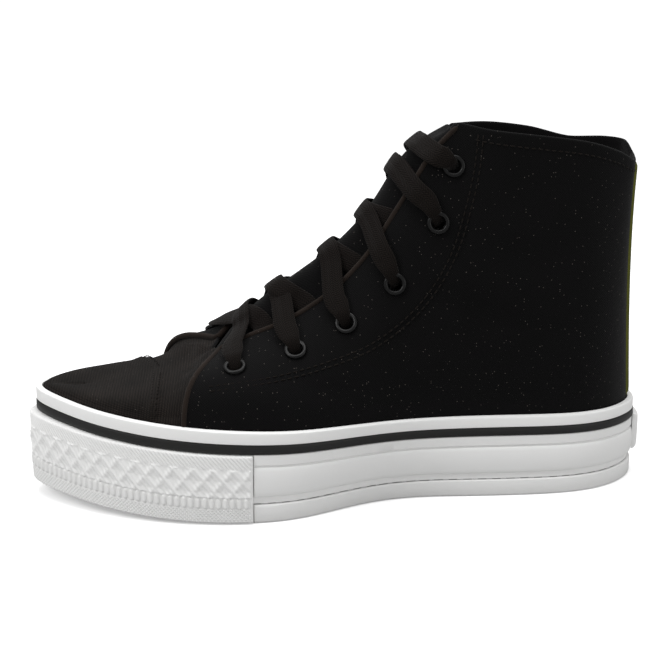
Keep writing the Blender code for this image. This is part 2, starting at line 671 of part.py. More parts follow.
class Throat:
    """The tongue's outer face: an arch between the two halves of the upper."""

    def __init__(self, halves: tuple) -> None:
        self.halves = halves
        self.rows = np.linspace(COLLAR_CORNER, THROAT_FRONT, 8 * (THROAT_FRONT - COLLAR_CORNER) + 1)
        self.arches = np.array(self.lines(self.rows)[len(TONGUE_REACH) - 1:1 - len(TONGUE_REACH)])

    def lines(self, u: np.ndarray) -> list:
        """Lines of points along the shoe, from under the outer quarter to under the inner one."""
        rise = monotone(np.arange(COLLAR_CORNER, THROAT_FRONT + 1), np.array(TONGUE_RISE), u)
        outer, inner = ([half.under_edge(u, reach) for reach in TONGUE_REACH] for half in self.halves)
        crest = 0.5 * (outer[0] + inner[0])
        crest[:, 2] += rise * SHAFT_HEIGHT
        steps = np.linspace(0, 1, TONGUE_ARCH + 1)[1:-1]
        arches = [self.arc(line, crest, side, steps) for side, line in ((-1, outer), (1, inner))]
        return outer[::-1] + arches[0] + [crest] + arches[1][::-1] + inner

    def arc(self, line: list, crest: np.ndarray, side: int, steps: np.ndarray) -> list:
        """Lines between an edge of the throat and the crest, leaving each smoothly."""
        away = line[0] - line[1]
        away /= np.linalg.norm(away, axis=1)[:, None]
        width = np.abs(line[0][:, 1:2] - crest[:, 1:2])
        first = line[0] + away * TONGUE_RISE_HANDLE * width
        second = crest + side * np.array([0.0, 1.0, 0.0]) * TONGUE_CREST_HANDLE * width
        return [line[0] * (1 - k) ** 3 + 3 * first * k * (1 - k) ** 2
                + 3 * second * k ** 2 * (1 - k) + crest * k ** 3 for k in steps]

    def spot(self, u: float, across: float) -> np.ndarray:
        """A point of the arch: across runs from 0 at the outer edge to 1 at the inner edge."""
        share = np.linspace(0, 1, len(self.arches))
        line = [[np.interp(u, self.rows, arch[:, k]) for k in range(3)] for arch in self.arches]
        return np.array([np.interp(across, share, column) for column in np.transpose(line)])

    def lifted(self, u: float, across: float, lift: float) -> np.ndarray:
        """A point lifted off the arch along its outward direction."""
        step = 0.1
        along = self.spot(u + step, across) - self.spot(u - step, across)
        width = self.spot(u, min(across + step, 1)) - self.spot(u, max(across - step, 0))
        out = np.cross(width, along)
        return self.spot(u, across) + lift * out / np.linalg.norm(out)


def upper_columns() -> list:
    """Fractional row numbers of the upper's columns, each with its depth under the quarters."""
    columns = []
    for row, count in enumerate(COLUMNS):
        for step in range(count):
            columns.append(row + step / count)
    columns.append(float(TOE_TIP))
    out = []
    for u in columns:
        if u <= THROAT_FRONT:
            out.append((u, 0.0))
        elif u < CAP_EDGE:
            out.append((u, VAMP_STEP))
        else:
            out.append((u, VAMP_STEP - CAP_STEP))
        if u == CAP_EDGE:
            out.insert(-1, (u - CAP_EASE, VAMP_STEP))
        if u == THROAT_FRONT:
            out.append((u + QUARTER_EASE, VAMP_STEP))
    return out


def build_upper(collection, finish, halves):
    """Canvas upper: one sheet from the feather edge to the collar, thickened inwards."""
    rows = np.concatenate([np.linspace(-1, 0, LAP_ROWS + 1)[:-1], np.linspace(0, 1, CURVE_ROWS + 1)])
    columns = upper_columns()
    u = np.array([column[0] for column in columns])
    depth = np.array([column[1] for column in columns])
    normals = [half.normal(u, rows) for half in halves]
    for normal in normals:
        normal[u >= VAMP_REAR, -1] = np.array([0, 0, 1])
    for seam in (0, -1):
        shared = normals[0][seam] + normals[1][seam]
        shared /= np.linalg.norm(shared, axis=1, keepdims=True)
        for normal in normals:
            normal[seam] = shared
    fade = np.clip(rows / STEP_FADE, 0, 1)
    bm = bmesh.new()
    for half, normal in zip(halves, normals):
        points = half.surface(u, rows) - normal * (depth[:, None] * fade)[:, :, None]
        grid = [[bm.verts.new(point) for point in line] for line in points]
        for left, right in zip(grid, grid[1:]):
            for i in range(len(rows) - 1):
                face = (left[i], left[i + 1], right[i + 1], right[i])
                bm.faces.new(face if half.side < 0 else face[::-1])
    made = add_object("upper", bm, collection, finish)
    wall = made.modifiers.new("wall", "SOLIDIFY")
    wall.thickness = WALL
    wall.offset = -1.0
    return made


def build_insole(collection, finish):
    """Sock board on the midsole's platform, inside the upper."""
    side = FOXING_THICKNESS + WALL + 3.5 * GAP

    def loop(depth, lift):
        out = ring(lambda shares: np.full(len(shares), side + depth), 1.0)
        out[:, 2] += lift - FOXING_LAP
        return out

    loops = [loop(0, GAP), loop(0, INSOLE_THICKNESS - 0.0008), loop(0.0010, INSOLE_THICKNESS)]
    return add_object("insole", loft(loops), collection, finish)


def build_tongue(collection, finish, throat):
    """Canvas tongue: an arch across the throat whose edges run under both quarters."""
    u = np.linspace(THROAT_FRONT - 0.35, COLLAR_CORNER + 0.3, TONGUE_ROWS)
    lines = throat.lines(u)
    bm = bmesh.new()
    grid = [[bm.verts.new(point) for point in line] for line in lines]
    for left, right in zip(grid, grid[1:]):
        for i in range(len(u) - 1):
            bm.faces.new((left[i], left[i + 1], right[i + 1], right[i]))
    made = add_object("tongue", bm, collection, finish)
    wall = made.modifiers.new("wall", "SOLIDIFY")
    wall.thickness = TONGUE_THICKNESS
    wall.offset = -1.0
    return made


def build_stay(collection, finish, halves):
    """Woven tape up the back of the upper, from the foxing to the collar."""
    t = np.linspace(STAY_LOW, STAY_HIGH, STAY_ROWS)
    columns = []
    for half in halves:
        reach = np.linspace(0, 1, STAY_COLUMNS)
        for share in (reach[::-1] if half.side < 0 else reach[1:]):
            column = []
            for one in t:
                near = half.surface(np.linspace(0, 1.5, 31), np.array([one]))[:, 0]
                run = np.concatenate([[0], np.cumsum(np.linalg.norm(np.diff(near, axis=0), axis=1))])
                u = np.interp(share * STAY_WIDTH / 2, run, np.linspace(0, 1.5, 31))
                column.append(half.spots(np.array([u]), np.array([one]), np.array([GAP]))[0])
            columns.append(column)
    bm = bmesh.new()
    grid = [[bm.verts.new(point) for point in column] for column in columns]
    for left, right in zip(grid, grid[1:]):
        for i in range(len(t) - 1):
            bm.faces.new((left[i], right[i], right[i + 1], left[i + 1]))
    made = add_object("heel_stay", bm, collection, finish)
    tape = made.modifiers.new("tape", "SOLIDIFY")
    tape.thickness = STAY_THICKNESS
    tape.offset = 1.0
    return made


def eyelet_frame(half, place) -> tuple:
    """Centre of an eyelet on the outer face, with the direction out of the face."""
    u, t = np.array([place.row]), np.array([place.climb])
    return half.surface(u, t)[0, 0], half.normal(u, t)[0, 0]


def turned(direction: np.ndarray) -> Matrix:
    """The rotation that points +Z along a direction."""
    return Vector(direction).to_track_quat("Z", "Y").to_matrix().to_4x4()


def build_eyelets(collection, finish, halves) -> list:
    """Twelve metal rings on the quarters, each round its own hole."""
    made = []
    for half, side in zip(halves, ("outer", "inner")):
        for number, place in enumerate(EYELETS, 1):
            middle, out = eyelet_frame(half, place)
            bm = bmesh.new()
            profile = (
                (EYELET_DIAMETER / 2, 0.0), (EYELET_DIAMETER / 2 - 0.0006, EYELET_THICKNESS),
                (EYELET_HOLE / 2 + 0.0002, EYELET_THICKNESS), (EYELET_HOLE / 2 - 0.0002, 0.0))
            turns = np.linspace(0, 2 * np.pi, EYELET_SIDES, endpoint=False)
            rings = [[bm.verts.new((r * np.cos(a), r * np.sin(a), z)) for a in turns] for r, z in profile]
            for low, high in zip(rings, rings[1:] + rings[:1]):
                for i in range(EYELET_SIDES):
                    j = (i + 1) % EYELET_SIDES
                    bm.faces.new((low[i], low[j], high[j], high[i]))
            place_at = Matrix.Translation(middle + out * EYELET_SEAT) @ turned(out)
            bm.transform(place_at)
            made.append(add_object(f"eyelet_{side}_{number}", bm, collection, finish))
    return made


def cut_holes(upper, halves, cutters) -> None:
    """Cut the lace holes through both quarters."""
    bm = bmesh.new()
    for half in halves:
        for place in EYELETS:
            middle, out = eyelet_frame(half, place)
            bmesh.ops.create_cone(
                bm, cap_ends=True, segments=EYELET_SIDES, radius1=EYELET_HOLE / 2,
                radius2=EYELET_HOLE / 2, depth=6 * WALL, matrix=Matrix.Translation(middle) @ turned(out))
    mesh = bpy.data.meshes.new("lace_holes")
    bm.to_mesh(mesh)
    bm.free()
    tool = bpy.data.objects.new("lace_holes", mesh)
    tool.hide_render = True
    tool.display_type = "WIRE"
    cutters.objects.link(tool)
    hole = upper.modifiers.new("holes", "BOOLEAN")
    hole.operation = "DIFFERENCE"
    hole.solver = "EXACT"
    hole.object = tool


class LacePoint(NamedTuple):
    """Where a lace bends: on a quarter (half given) or on the tongue's arch (half is None)."""
    half: object
    row: float
    place: float
    lift: float


def lace_spot(throat, point: LacePoint, shift: float = 0.0, extra: float = 0.0) -> np.ndarray:
    """Position of a lace point, shifted along the throat and lifted further off its face."""
    if point.half is None:
        return throat.lifted(point.row + shift, point.place, point.lift + extra)
    row, place = np.array([point.row + shift]), np.array([point.place])
    return point.half.spots(row, place, np.array([point.lift + extra]))[0]


def eyelet_run(half, place: Eyelet) -> list:
    """Lace points from over an eyelet to the throat's edge beside it."""
    seat = EYELET_SEAT + EYELET_THICKNESS + LACE_OVER_RING * GAP
    lifts = (seat, seat, 0.7 * seat, 3 * GAP)
    return [LacePoint(half, place.row + share * (place.edge - place.row),
                      place.climb + share * (1 - place.climb), lift)
            for share, lift in zip(LACE_RUN, lifts)]


def lace_row(place: Eyelet, landing: float, across: float) -> float:
    """Row of a lace part of the way over the tongue, by way of the crest."""
    rows = [place.edge, place.crest, landing]
    return float(monotone([0.0, 0.5, 1.0], rows, np.array([across]))[0])


def crossing_run(half, place: Eyelet, landing: float, rise: float) -> list:
    """Lace points from an eyelet across the tongue to the far edge of the throat."""
    points = eyelet_run(half, place)
    for across in LACE_ACROSS:
        row = lace_row(place, landing, across)
        ride = rise * min(1.0, (LACE_ACROSS[-1] - across) / LACE_FALL)
        early = max(0.0, 1 - across / LACE_ACROSS[1])
        lift = (LACE_CLEAR + early) * GAP + ride
        points.append(LacePoint(None, row, across if half.side < 0 else 1 - across, lift))
    return points


def bar_run(halves, place: Eyelet) -> list:
    """Lace points straight across from one eyelet to its twin."""
    first, last = (eyelet_run(half, place) for half in halves)
    middle = [LacePoint(None, lace_row(place, place.edge, across), across,
                        2 * GAP + LACE_BAR_RISE * np.sin(np.pi * across))
              for across in LACE_ACROSS[:-1]]
    return first + middle + last[::-1]


def strip(throat, points: list) -> bmesh.types.BMesh:
    """A flat lace through its points, as wide as the lace along the throat."""
    middles = np.array([lace_spot(throat, point) for point in points])
    bm = bmesh.new()
    rows = []
    for point, ahead in zip(points, np.gradient(middles, axis=0)):
        step = 0.05
        width = lace_spot(throat, point, step) - lace_spot(throat, point, -step)
        ahead /= np.linalg.norm(ahead)
        square = width - ahead * (width @ ahead)
        share = step * LACE_WIDTH / np.linalg.norm(square)
        corners = [lace_spot(throat, point, side * share, deep)
                   for side, deep in ((-1, 0), (1, 0), (1, LACE_THICKNESS), (-1, LACE_THICKNESS))]
        rows.append([bm.verts.new(corner) for corner in corners])
    for low, high in zip(rows, rows[1:]):
        for i in range(4):
            j = (i + 1) % 4
            bm.faces.new((low[i], low[j], high[j], high[i]))
    bm.faces.new(rows[0][::-1])
    bm.faces.new(rows[-1])
    return bm


def build_laces(collection, finish, halves, throat, cutters) -> list:
    """Five crossings and the top bar, each crossing joined in one solid."""
    made = []
    for number, (place, above) in enumerate(zip(EYELETS, EYELETS[1:]), 1):
        upper_half = LACES_OVER[number - 1]
        landing = above.edge + LACE_LANDING
        runs = [crossing_run(half, place, landing, LACE_RISE if half.side == upper_half else 0.0)
                for half in halves]
        lace = add_object(f"lace_{number}", strip(throat, runs[0]), collection, finish)
        partner = add_object(f"lace_{number}_partner", strip(throat, runs[1]), cutters, finish)
        partner.hide_render = True
        partner.display_type = "WIRE"
        join = lace.modifiers.new("crossing", "BOOLEAN")
        join.operation = "UNION"
        join.solver = "EXACT"
        join.object = partner
        made.append(lace)
    bar = strip(throat, bar_run(halves, EYELETS[-1]))
    made.append(add_object(f"lace_{len(EYELETS)}", bar, collection, finish))
    return made


def clear_scene() -> None:
    """Remove every object of the open file."""
    for thing in list(bpy.data.objects):
        bpy.data.objects.remove(thing, do_unlink=True)


def centre(objects: list) -> None:
    """Put the middle of the whole box over the origin and its lowest point on the ground."""
    graph = bpy.context.evaluated_depsgraph_get()
    corners = []
    for thing in objects:
        shape = thing.evaluated_get(graph).to_mesh()
        corners += [thing.matrix_world @ vertex.co for vertex in shape.vertices]
    corners = np.array(corners)
    low, high = corners.min(axis=0), corners.max(axis=0)
    for thing in bpy.data.objects:
        thing.location.x -= 0.5 * (low[0] + high[0])
        thing.location.y -= 0.5 * (low[1] + high[1])
        thing.location.z -= low[2]


def main() -> None:
    """Build every piece of the shoe."""
    clear_scene()
    collection = bpy.data.collections.new("high_top_sneaker")
    cutters = bpy.data.collections.new("cutters")
    bpy.context.scene.collection.children.link(collection)
    bpy.context.scene.collection.children.link(cutters)
    white = material("white_rubber", (0.80, 0.80, 0.79), 0.45)
    black = material("black_rubber", (0.015, 0.015, 0.015), 0.45)
    canvas = material("black_canvas", (0.012, 0.011, 0.010), 0.85)
    sock = material("insole_cloth", (0.05, 0.05, 0.05), 0.9)
    tape = material("stay_tape", (0.07, 0.075, 0.03), 0.85)
    enamel = material("eyelet_metal", (0.03, 0.03, 0.035), 0.35, 1.0)
    cotton = material("lace_cloth", (0.03, 0.024, 0.02), 0.9)
    halves = (Half(-1, OUTER_SECTIONS), Half(1, INNER_SECTIONS))
    throat = Throat(halves)
    upper = build_upper(collection, canvas, halves)
    objects = [
        build_outsole(collection, white),
        build_midsole(collection, white),
        build_stripe(collection, black),
        build_bumper(collection, white),
        build_label(collection, white),
        build_insole(collection, sock),
        upper,
        build_tongue(collection, canvas, throat),
        build_stay(collection, tape, halves),
    ]
    objects += build_eyelets(collection, enamel, halves)
    objects += build_laces(collection, cotton, halves, throat, cutters)
    cut_holes(upper, halves, cutters)
    bpy.context.view_layer.update()
    centre(objects)


main()
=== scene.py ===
"""Looks of the high top sneaker: canvas, rubber, laces, eyelets, seams and creases.

Shapes are worked out in metres in the tables' frame, toe to -X, outer side of the foot at
-Y and +Z up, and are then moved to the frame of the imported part.
"""

import logging
import math
from dataclasses import dataclass
from enum import IntEnum
from functools import cache
from typing import Callable, NamedTuple, Sequence

import bmesh
import bpy
import numpy as np
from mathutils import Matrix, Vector

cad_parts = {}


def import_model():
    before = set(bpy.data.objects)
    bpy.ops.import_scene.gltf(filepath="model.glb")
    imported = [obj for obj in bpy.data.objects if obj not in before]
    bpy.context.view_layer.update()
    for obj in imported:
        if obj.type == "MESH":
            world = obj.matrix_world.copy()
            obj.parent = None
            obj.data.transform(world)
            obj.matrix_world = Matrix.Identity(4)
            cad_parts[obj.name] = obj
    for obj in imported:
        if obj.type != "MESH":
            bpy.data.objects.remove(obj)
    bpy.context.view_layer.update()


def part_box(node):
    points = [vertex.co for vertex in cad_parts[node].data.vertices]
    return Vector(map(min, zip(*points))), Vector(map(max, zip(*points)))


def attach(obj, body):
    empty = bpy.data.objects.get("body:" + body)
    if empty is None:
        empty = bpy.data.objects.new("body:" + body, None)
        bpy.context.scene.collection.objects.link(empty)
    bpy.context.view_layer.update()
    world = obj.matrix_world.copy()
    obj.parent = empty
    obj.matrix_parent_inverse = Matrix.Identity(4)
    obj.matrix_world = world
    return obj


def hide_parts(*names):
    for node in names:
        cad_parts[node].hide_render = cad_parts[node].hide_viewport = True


LOG = logging.getLogger("sneaker")
Array = np.ndarray

# Driving sizes of the sole
SOLE_LENGTH = 0.254
BALL_WIDTH = 0.098
HEEL_WIDTH = 0.067
HEEL_WALL = 0.0343
BALL_WALL = 0.0391
TOE_WALL = 0.0412
TOE_SPRING = 0.0055
WAIST_UNDERCUT = 0.0060
BOTTOM_UNDERCUT = 0.0008
FOXING_THICKNESS = 0.0026
FOXING_LAP = 0.0100

# Where the tip of the toe lies, as a share of the sole's length from the heel
TOE_STATION = 1.018

# Heights on the sole's wall, as shares of it from the ground
OUTSOLE_TOP = 0.205
RECESS_TOP = 0.295
PANEL_TOP = 0.620
GROOVE_TOP = 0.640
STRIPE_LOW = 0.765
STRIPE_HIGH = 0.860
# Where the toe bumper ends, as a share of each half of the outline from the heel
BUMPER_END = 0.640
BUMPER_SEAT = 0.0013

# Driving sizes of the upper
SHAFT_HEIGHT = 0.1220
COLLAR_WIDTH = 0.0530
THROAT_WIDTH = 0.0310
WALL = 0.0018
GAP = 0.0003
# Gaps between the foxing and the upper's foot
FOOT_GAPS = 1.8
# Rows of points round a rolled edge
EDGE_STEPS = 7


class OutlineRow(NamedTuple):
    """One point of the sole's plan: share of the length from the heel, share of a width."""

    station: float
    side: float
    width: float


HEEL_ROUND = ((0.000, 0.000), (0.012, 0.185), (0.031, 0.285), (0.067, 0.400), (0.122, 0.483), (0.213, 0.505))
OUTER_PLAN = [OutlineRow(station, -side, HEEL_WIDTH) for station, side in HEEL_ROUND] + [
    OutlineRow(0.319, -0.501, HEEL_WIDTH),
    OutlineRow(0.421, -0.365, BALL_WIDTH),
    OutlineRow(0.524, -0.439, BALL_WIDTH),
    OutlineRow(0.618, -0.508, BALL_WIDTH),
    OutlineRow(0.705, -0.512, BALL_WIDTH),
    OutlineRow(0.791, -0.466, BALL_WIDTH),
    OutlineRow(0.866, -0.380, BALL_WIDTH),
    OutlineRow(0.931, -0.258, BALL_WIDTH),
    OutlineRow(0.985, -0.110, BALL_WIDTH),
]
INNER_PLAN = [
    OutlineRow(TOE_STATION, 0.060, BALL_WIDTH),
    OutlineRow(0.992, 0.218, BALL_WIDTH),
    OutlineRow(0.931, 0.356, BALL_WIDTH),
    OutlineRow(0.839, 0.447, BALL_WIDTH),
    OutlineRow(0.744, 0.478, BALL_WIDTH),
    OutlineRow(0.642, 0.444, BALL_WIDTH),
    OutlineRow(0.531, 0.367, BALL_WIDTH),
    OutlineRow(0.421, 0.321, BALL_WIDTH),
    OutlineRow(0.319, 0.478, HEEL_WIDTH),
] + [OutlineRow(station, side, HEEL_WIDTH) for station, side in HEEL_ROUND[:0:-1]]


class Section(NamedTuple):
    """One section of the upper, from its foot on the sole's outline to its top edge.

    foot is a share of the half outline from heel to toe. along, side and rise place the
    top edge, as shares of the sole's length from the heel, of half a width and of the
    shaft's height. low and high are the lengths of the two handles of the section's
    curve, as shares of its chord. lean tips the lower handle outwards. drop and sweep
    turn the upper handle, in degrees.
    """

    foot: float
    along: float
    side: float
    rise: float
    low: float
    lean: float
    high: float
    drop: float
    sweep: float


OUTER_SECTIONS = (
    Section(0.000, 0.010, 0.00, 0.858, 0.33, -0.05, 0.30, 95, -90),
    Section(0.062, 0.022, 0.42, 0.852, 0.33, -0.03, 0.30, 94, -60),
    Section(0.108, 0.060, 0.74, 0.893, 0.35, 0.00, 0.30, 92, -35),
    Section(0.160, 0.120, 0.95, 0.934, 0.36, 0.04, 0.30, 91, -12),
    Section(0.233, 0.205, 1.00, 0.961, 0.36, 0.06, 0.30, 90, 0),
    Section(0.300, 0.280, 0.89, 0.980, 0.35, 0.05, 0.28, 84, 5),
    Section(0.335, 0.327, 1.09, 1.000, 0.33, 0.04, 0.28, 74, 8),
    Section(0.372, 0.368, 1.04, 0.911, 0.33, 0.03, 0.28, 66, 8),
    Section(0.425, 0.425, 0.99, 0.723, 0.36, 0.00, 0.30, 60, 8),
    Section(0.480, 0.484, 0.97, 0.541, 0.40, 0.00, 0.32, 54, 8),
    Section(0.535, 0.547, 0.99, 0.420, 0.42, -0.05, 0.34, 47, 10),
    Section(0.598, 0.614, 1.03, 0.340, 0.45, -0.10, 0.36, 38, 14),
    Section(0.657, 0.669, 0.94, 0.294, 0.50, -0.15, 0.40, 28, 20),
    Section(0.735, 0.716, 0.62, 0.243, 0.50, -0.10, 0.38, 12, 26),
    Section(0.744, 0.728, 0.00, 0.226, 0.26, -0.10, 0.42, 0, 26),
    Section(0.760, 0.768, 0.00, 0.178, 0.26, -0.10, 0.46, 0, 14),
    Section(0.780, 0.819, 0.00, 0.151, 0.26, -0.10, 0.50, 0, 4),
    Section(0.830, 0.862, 0.00, 0.139, 0.26, -0.10, 0.50, 2, 8),
    Section(0.900, 0.902, 0.00, 0.127, 0.26, -0.10, 0.48, 5, 30),
    Section(0.955, 0.925, 0.00, 0.120, 0.26, -0.05, 0.44, 9, 58),
    Section(1.000, 0.939, 0.00, 0.114, 0.26, 0.00, 0.42, 12, 90),
)
INNER_SECTIONS = (
    Section(0.000, 0.010, 0.00, 0.858, 0.33, -0.05, 0.30, 95, -90),
    Section(0.064, 0.014, 0.36, 0.895, 0.33, -0.03, 0.30, 94, -60),
    Section(0.112, 0.040, 0.66, 0.899, 0.35, 0.00, 0.30, 92, -35),
    Section(0.166, 0.091, 0.88, 0.895, 0.36, 0.04, 0.30, 91, -12),
    Section(0.242, 0.170, 1.00, 0.932, 0.36, 0.06, 0.30, 90, 0),
    Section(0.310, 0.252, 0.90, 0.955, 0.35, 0.05, 0.28, 84, 5),
    Section(0.346, 0.312, 1.09, 0.960, 0.33, 0.04, 0.28, 74, 8),
    Section(0.386, 0.366, 1.04, 0.885, 0.33, 0.03, 0.28, 66, 8),
    Section(0.440, 0.425, 0.99, 0.715, 0.36, 0.00, 0.30, 60, 8),
    Section(0.498, 0.484, 0.97, 0.534, 0.40, 0.00, 0.32, 54, 8),
    Section(0.555, 0.547, 0.97, 0.424, 0.42, -0.05, 0.34, 47, 10),
    Section(0.614, 0.614, 0.99, 0.352, 0.45, -0.10, 0.36, 38, 14),
    Section(0.675, 0.674, 0.93, 0.306, 0.50, -0.15, 0.40, 28, 20),
    Section(0.750, 0.714, 0.66, 0.238, 0.50, -0.10, 0.38, 10, 24),
    Section(0.759, 0.728, 0.00, 0.226, 0.26, -0.10, 0.42, 0, 24),
    Section(0.773, 0.768, 0.00, 0.178, 0.26, -0.10, 0.46, 0, 12),
    Section(0.793, 0.819, 0.00, 0.151, 0.26, -0.10, 0.50, 0, 2),
    Section(0.855, 0.862, 0.00, 0.139, 0.26, -0.10, 0.50, 2, 8),
    Section(0.915, 0.902, 0.00, 0.127, 0.26, -0.10, 0.48, 5, 30),
    Section(0.962, 0.925, 0.00, 0.120, 0.26, -0.05, 0.44, 9, 58),
    Section(1.000, 0.939, 0.00, 0.114, 0.26, 0.00, 0.42, 12, 90),
)
# Rows of the tables above where the top edge turns a corner
COLLAR_CORNER = 6
THROAT_FRONT = 13
VAMP_REAR = 14
CAP_EDGE = 16
TOE_TIP = 20
CORNERS = (0, COLLAR_CORNER, THROAT_FRONT, VAMP_REAR, TOE_TIP)


class EyeletPlace(NamedTuple):
    """An eyelet's place: row of the tables, climb up the section, and its lace's rows.

    The lace leaves the quarter at row edge and passes over the tongue's crest at row crest.
    """

    row: float
    climb: float
    edge: float
    crest: float


EYELETS = (
    EyeletPlace(12.18, 0.582, 12.45, 12.10),
    EyeletPlace(10.66, 0.647, 11.00, 11.10),
    EyeletPlace(9.42, 0.657, 9.80, 9.80),
    EyeletPlace(8.10, 0.630, 8.60, 8.85),
    EyeletPlace(6.88, 0.698, 7.70, 8.00),
    EyeletPlace(6.24, 0.860, 7.15, 7.40),
)


# The point the camera looks at, in the tables' frame
CAMERA_TARGET = (-0.00703, 0.0, 0.06713)


class Side(IntEnum):
    """A half of the shoe, by the sign of its Y."""

    OUTER = -1
    INNER = 1


def hermite(first: Array, last: Array, leave: Array, arrive: Array, t: Array) -> Array:
    """Points of a cubic span.

    Args:
        first: Start of the span.
        last: End of the span.
        leave: Tangent at the start.
        arrive: Tangent at the end.
        t: Shares of the way along.

    Returns:
        The points.
    """
    return (first * (1 + 2 * t) * (1 - t) ** 2 + leave * t * (1 - t) ** 2
            + last * t ** 2 * (3 - 2 * t) + arrive * t ** 2 * (t - 1))


def bezier(first: Array, near: Array, far: Array, last: Array, t: Array | float) -> Array:
    """Points of a cubic curve with two handles.

    Args:
        first: Start of the curve.
        near: End of the start's handle.
        far: End of the end's handle.
        last: End of the curve.
        t: Shares of the way along.

    Returns:
        The points.
    """
    return (first * (1 - t) ** 3 + 3 * near * t * (1 - t) ** 2
            + 3 * far * t ** 2 * (1 - t) + last * t ** 3)


def monotone(xs: Array, ys: Array, at: Array) -> Array:
    """Values of the cubic through the points that never overshoots them.

    Args:
        xs: Rising positions of the points.
        ys: Heights of the points.
        at: Positions to read.

    Returns:
        The heights there.
    """
    xs, ys, at = np.asarray(xs, float), np.asarray(ys, float), np.asarray(at, float)
    run, slope = np.diff(xs), np.diff(ys) / np.diff(xs)
    tangent = np.zeros(len(xs))
    tangent[0], tangent[-1] = slope[0], slope[-1]
    same = slope[:-1] * slope[1:] > 0
    weight_a, weight_b = 2 * run[1:] + run[:-1], run[1:] + 2 * run[:-1]
    safe_a = np.where(same, slope[:-1], 1.0)
    safe_b = np.where(same, slope[1:], 1.0)
    mean = (weight_a + weight_b) / (weight_a / safe_a + weight_b / safe_b)
    tangent[1:-1] = np.where(same, mean, 0.0)
    cell = np.clip(np.searchsorted(xs, at, side="right") - 1, 0, len(xs) - 2)
    t = (at - xs[cell]) / run[cell]
    leave, arrive = tangent[cell] * run[cell], tangent[cell + 1] * run[cell]
    return hermite(ys[cell], ys[cell + 1], leave, arrive, t)


def closed_spline(points: Array, steps: int) -> Array:
    """Points along the closed cubic spline through the given points, steps for each span.

    Args:
        points: The curve's knots, in order.
        steps: Points made for each span.

    Returns:
        The points, the first not repeated.
    """
    count = len(points)
    chord = np.linalg.norm(np.roll(points, -1, axis=0) - points, axis=1)
    system = np.zeros((count, count))
    right = np.zeros((count, 2))
    for i in range(count):
        before, after = chord[i - 1], chord[i]
        system[i, i - 1], system[i, i] = after, 2 * (before + after)
        system[i, (i + 1) % count] = before
        here, last, following = points[i], points[i - 1], points[(i + 1) % count]
        right[i] = 3 * (after * (here - last) / before + before * (following - here) / after)
    tangent = np.linalg.solve(system, right)
    t = np.arange(steps)[:, None] / steps
    out = []
    for i in range(count):
        j = (i + 1) % count
        out.append(hermite(points[i], points[j], tangent[i] * chord[i], tangent[j] * chord[i], t))
    return np.concatenate(out)


def open_spline(points: Array, steps: int) -> Array:
    """A smooth curve through rows of values, spaced by the first three columns.

    Args:
        points: One row for each place, its position first and other values after.
        steps: Points made for each span.

    Returns:
        The rows along the curve, ends included.
    """
    chord = np.maximum(np.linalg.norm(np.diff(points[:, :3], axis=0), axis=1), 1e-9)
    knots = np.concatenate([[0], np.cumsum(np.sqrt(chord))])
    slope = np.diff(points, axis=0) / np.diff(knots)[:, None]
    before, after = np.diff(knots)[:-1, None], np.diff(knots)[1:, None]
    tangent = np.empty_like(points)
    tangent[0], tangent[-1] = slope[0], slope[-1]
    tangent[1:-1] = (slope[:-1] * after + slope[1:] * before) / (before + after)
    t = np.arange(steps)[:, None] / steps
    out = []
    for i in range(len(points) - 1):
        run = knots[i + 1] - knots[i]
        out.append(hermite(points[i], points[i + 1], tangent[i] * run, tangent[i + 1] * run, t))
    return np.concatenate(out + [points[-1:]])


def unit(vectors: Array) -> Array:
    """The same vectors with a length of one."""
    return vectors / np.maximum(np.linalg.norm(vectors, axis=-1, keepdims=True), 1e-12)


def smooth_step(value: Array) -> Array:
    """0 below 0, 1 above 1 and a smooth rise between."""
    held = np.clip(value, 0, 1)
    return held * held * (3 - 2 * held)


def run_length(points: Array) -> Array:
    """Distance along a line of points from its first."""
    return np.concatenate([[0], np.cumsum(np.linalg.norm(np.diff(points, axis=0), axis=1))])


def read_rows(at: Array | float, knots: Array, rows: Array) -> Array:
    """Rows of values read between their knots.

    Args:
        at: Positions to read.
        knots: Rising positions of the rows.
        rows: One row of values for each knot.

    Returns:
        One row of values for each position.
    """
    return np.stack([np.interp(at, knots, column) for column in rows.T], axis=-1)


def circle(count: int) -> Array:
    """Angles of evenly spaced points round a full turn."""
    return np.linspace(0, 2 * math.pi, count, endpoint=False)


def rolled_edge(outer: Array, inner: Array, out: Array, away: Array, thickness: float) -> Array:
    """Rows of points that round off the edge between two faces.

    Args:
        outer: Last line of the outer face.
        inner: Last line of the inner face.
        out: Directions from the inner face to the outer one.
        away: Directions out over the edge.
        thickness: Distance between the faces.

    Returns:
        The rows, from the outer line to the inner one.
    """
    middle = 0.5 * (outer + inner)
    return np.array([middle + thickness / 2 * (out * math.cos(a) + away * math.sin(a))
                     for a in np.linspace(0, math.pi, EDGE_STEPS)])


def stand(name: str, data: bpy.types.ID) -> bpy.types.Object:
    """Put a new object in the scene.

    Args:
        name: Name of the object.
        data: Its mesh, camera or light.

    Returns:
        The object.
    """
    made = bpy.data.objects.new(name, data)
    bpy.context.scene.collection.objects.link(made)
    return made


def sole_x(station: float) -> float:
    """X of a share of the sole's length from the heel."""
    return SOLE_LENGTH * (0.5 - station)


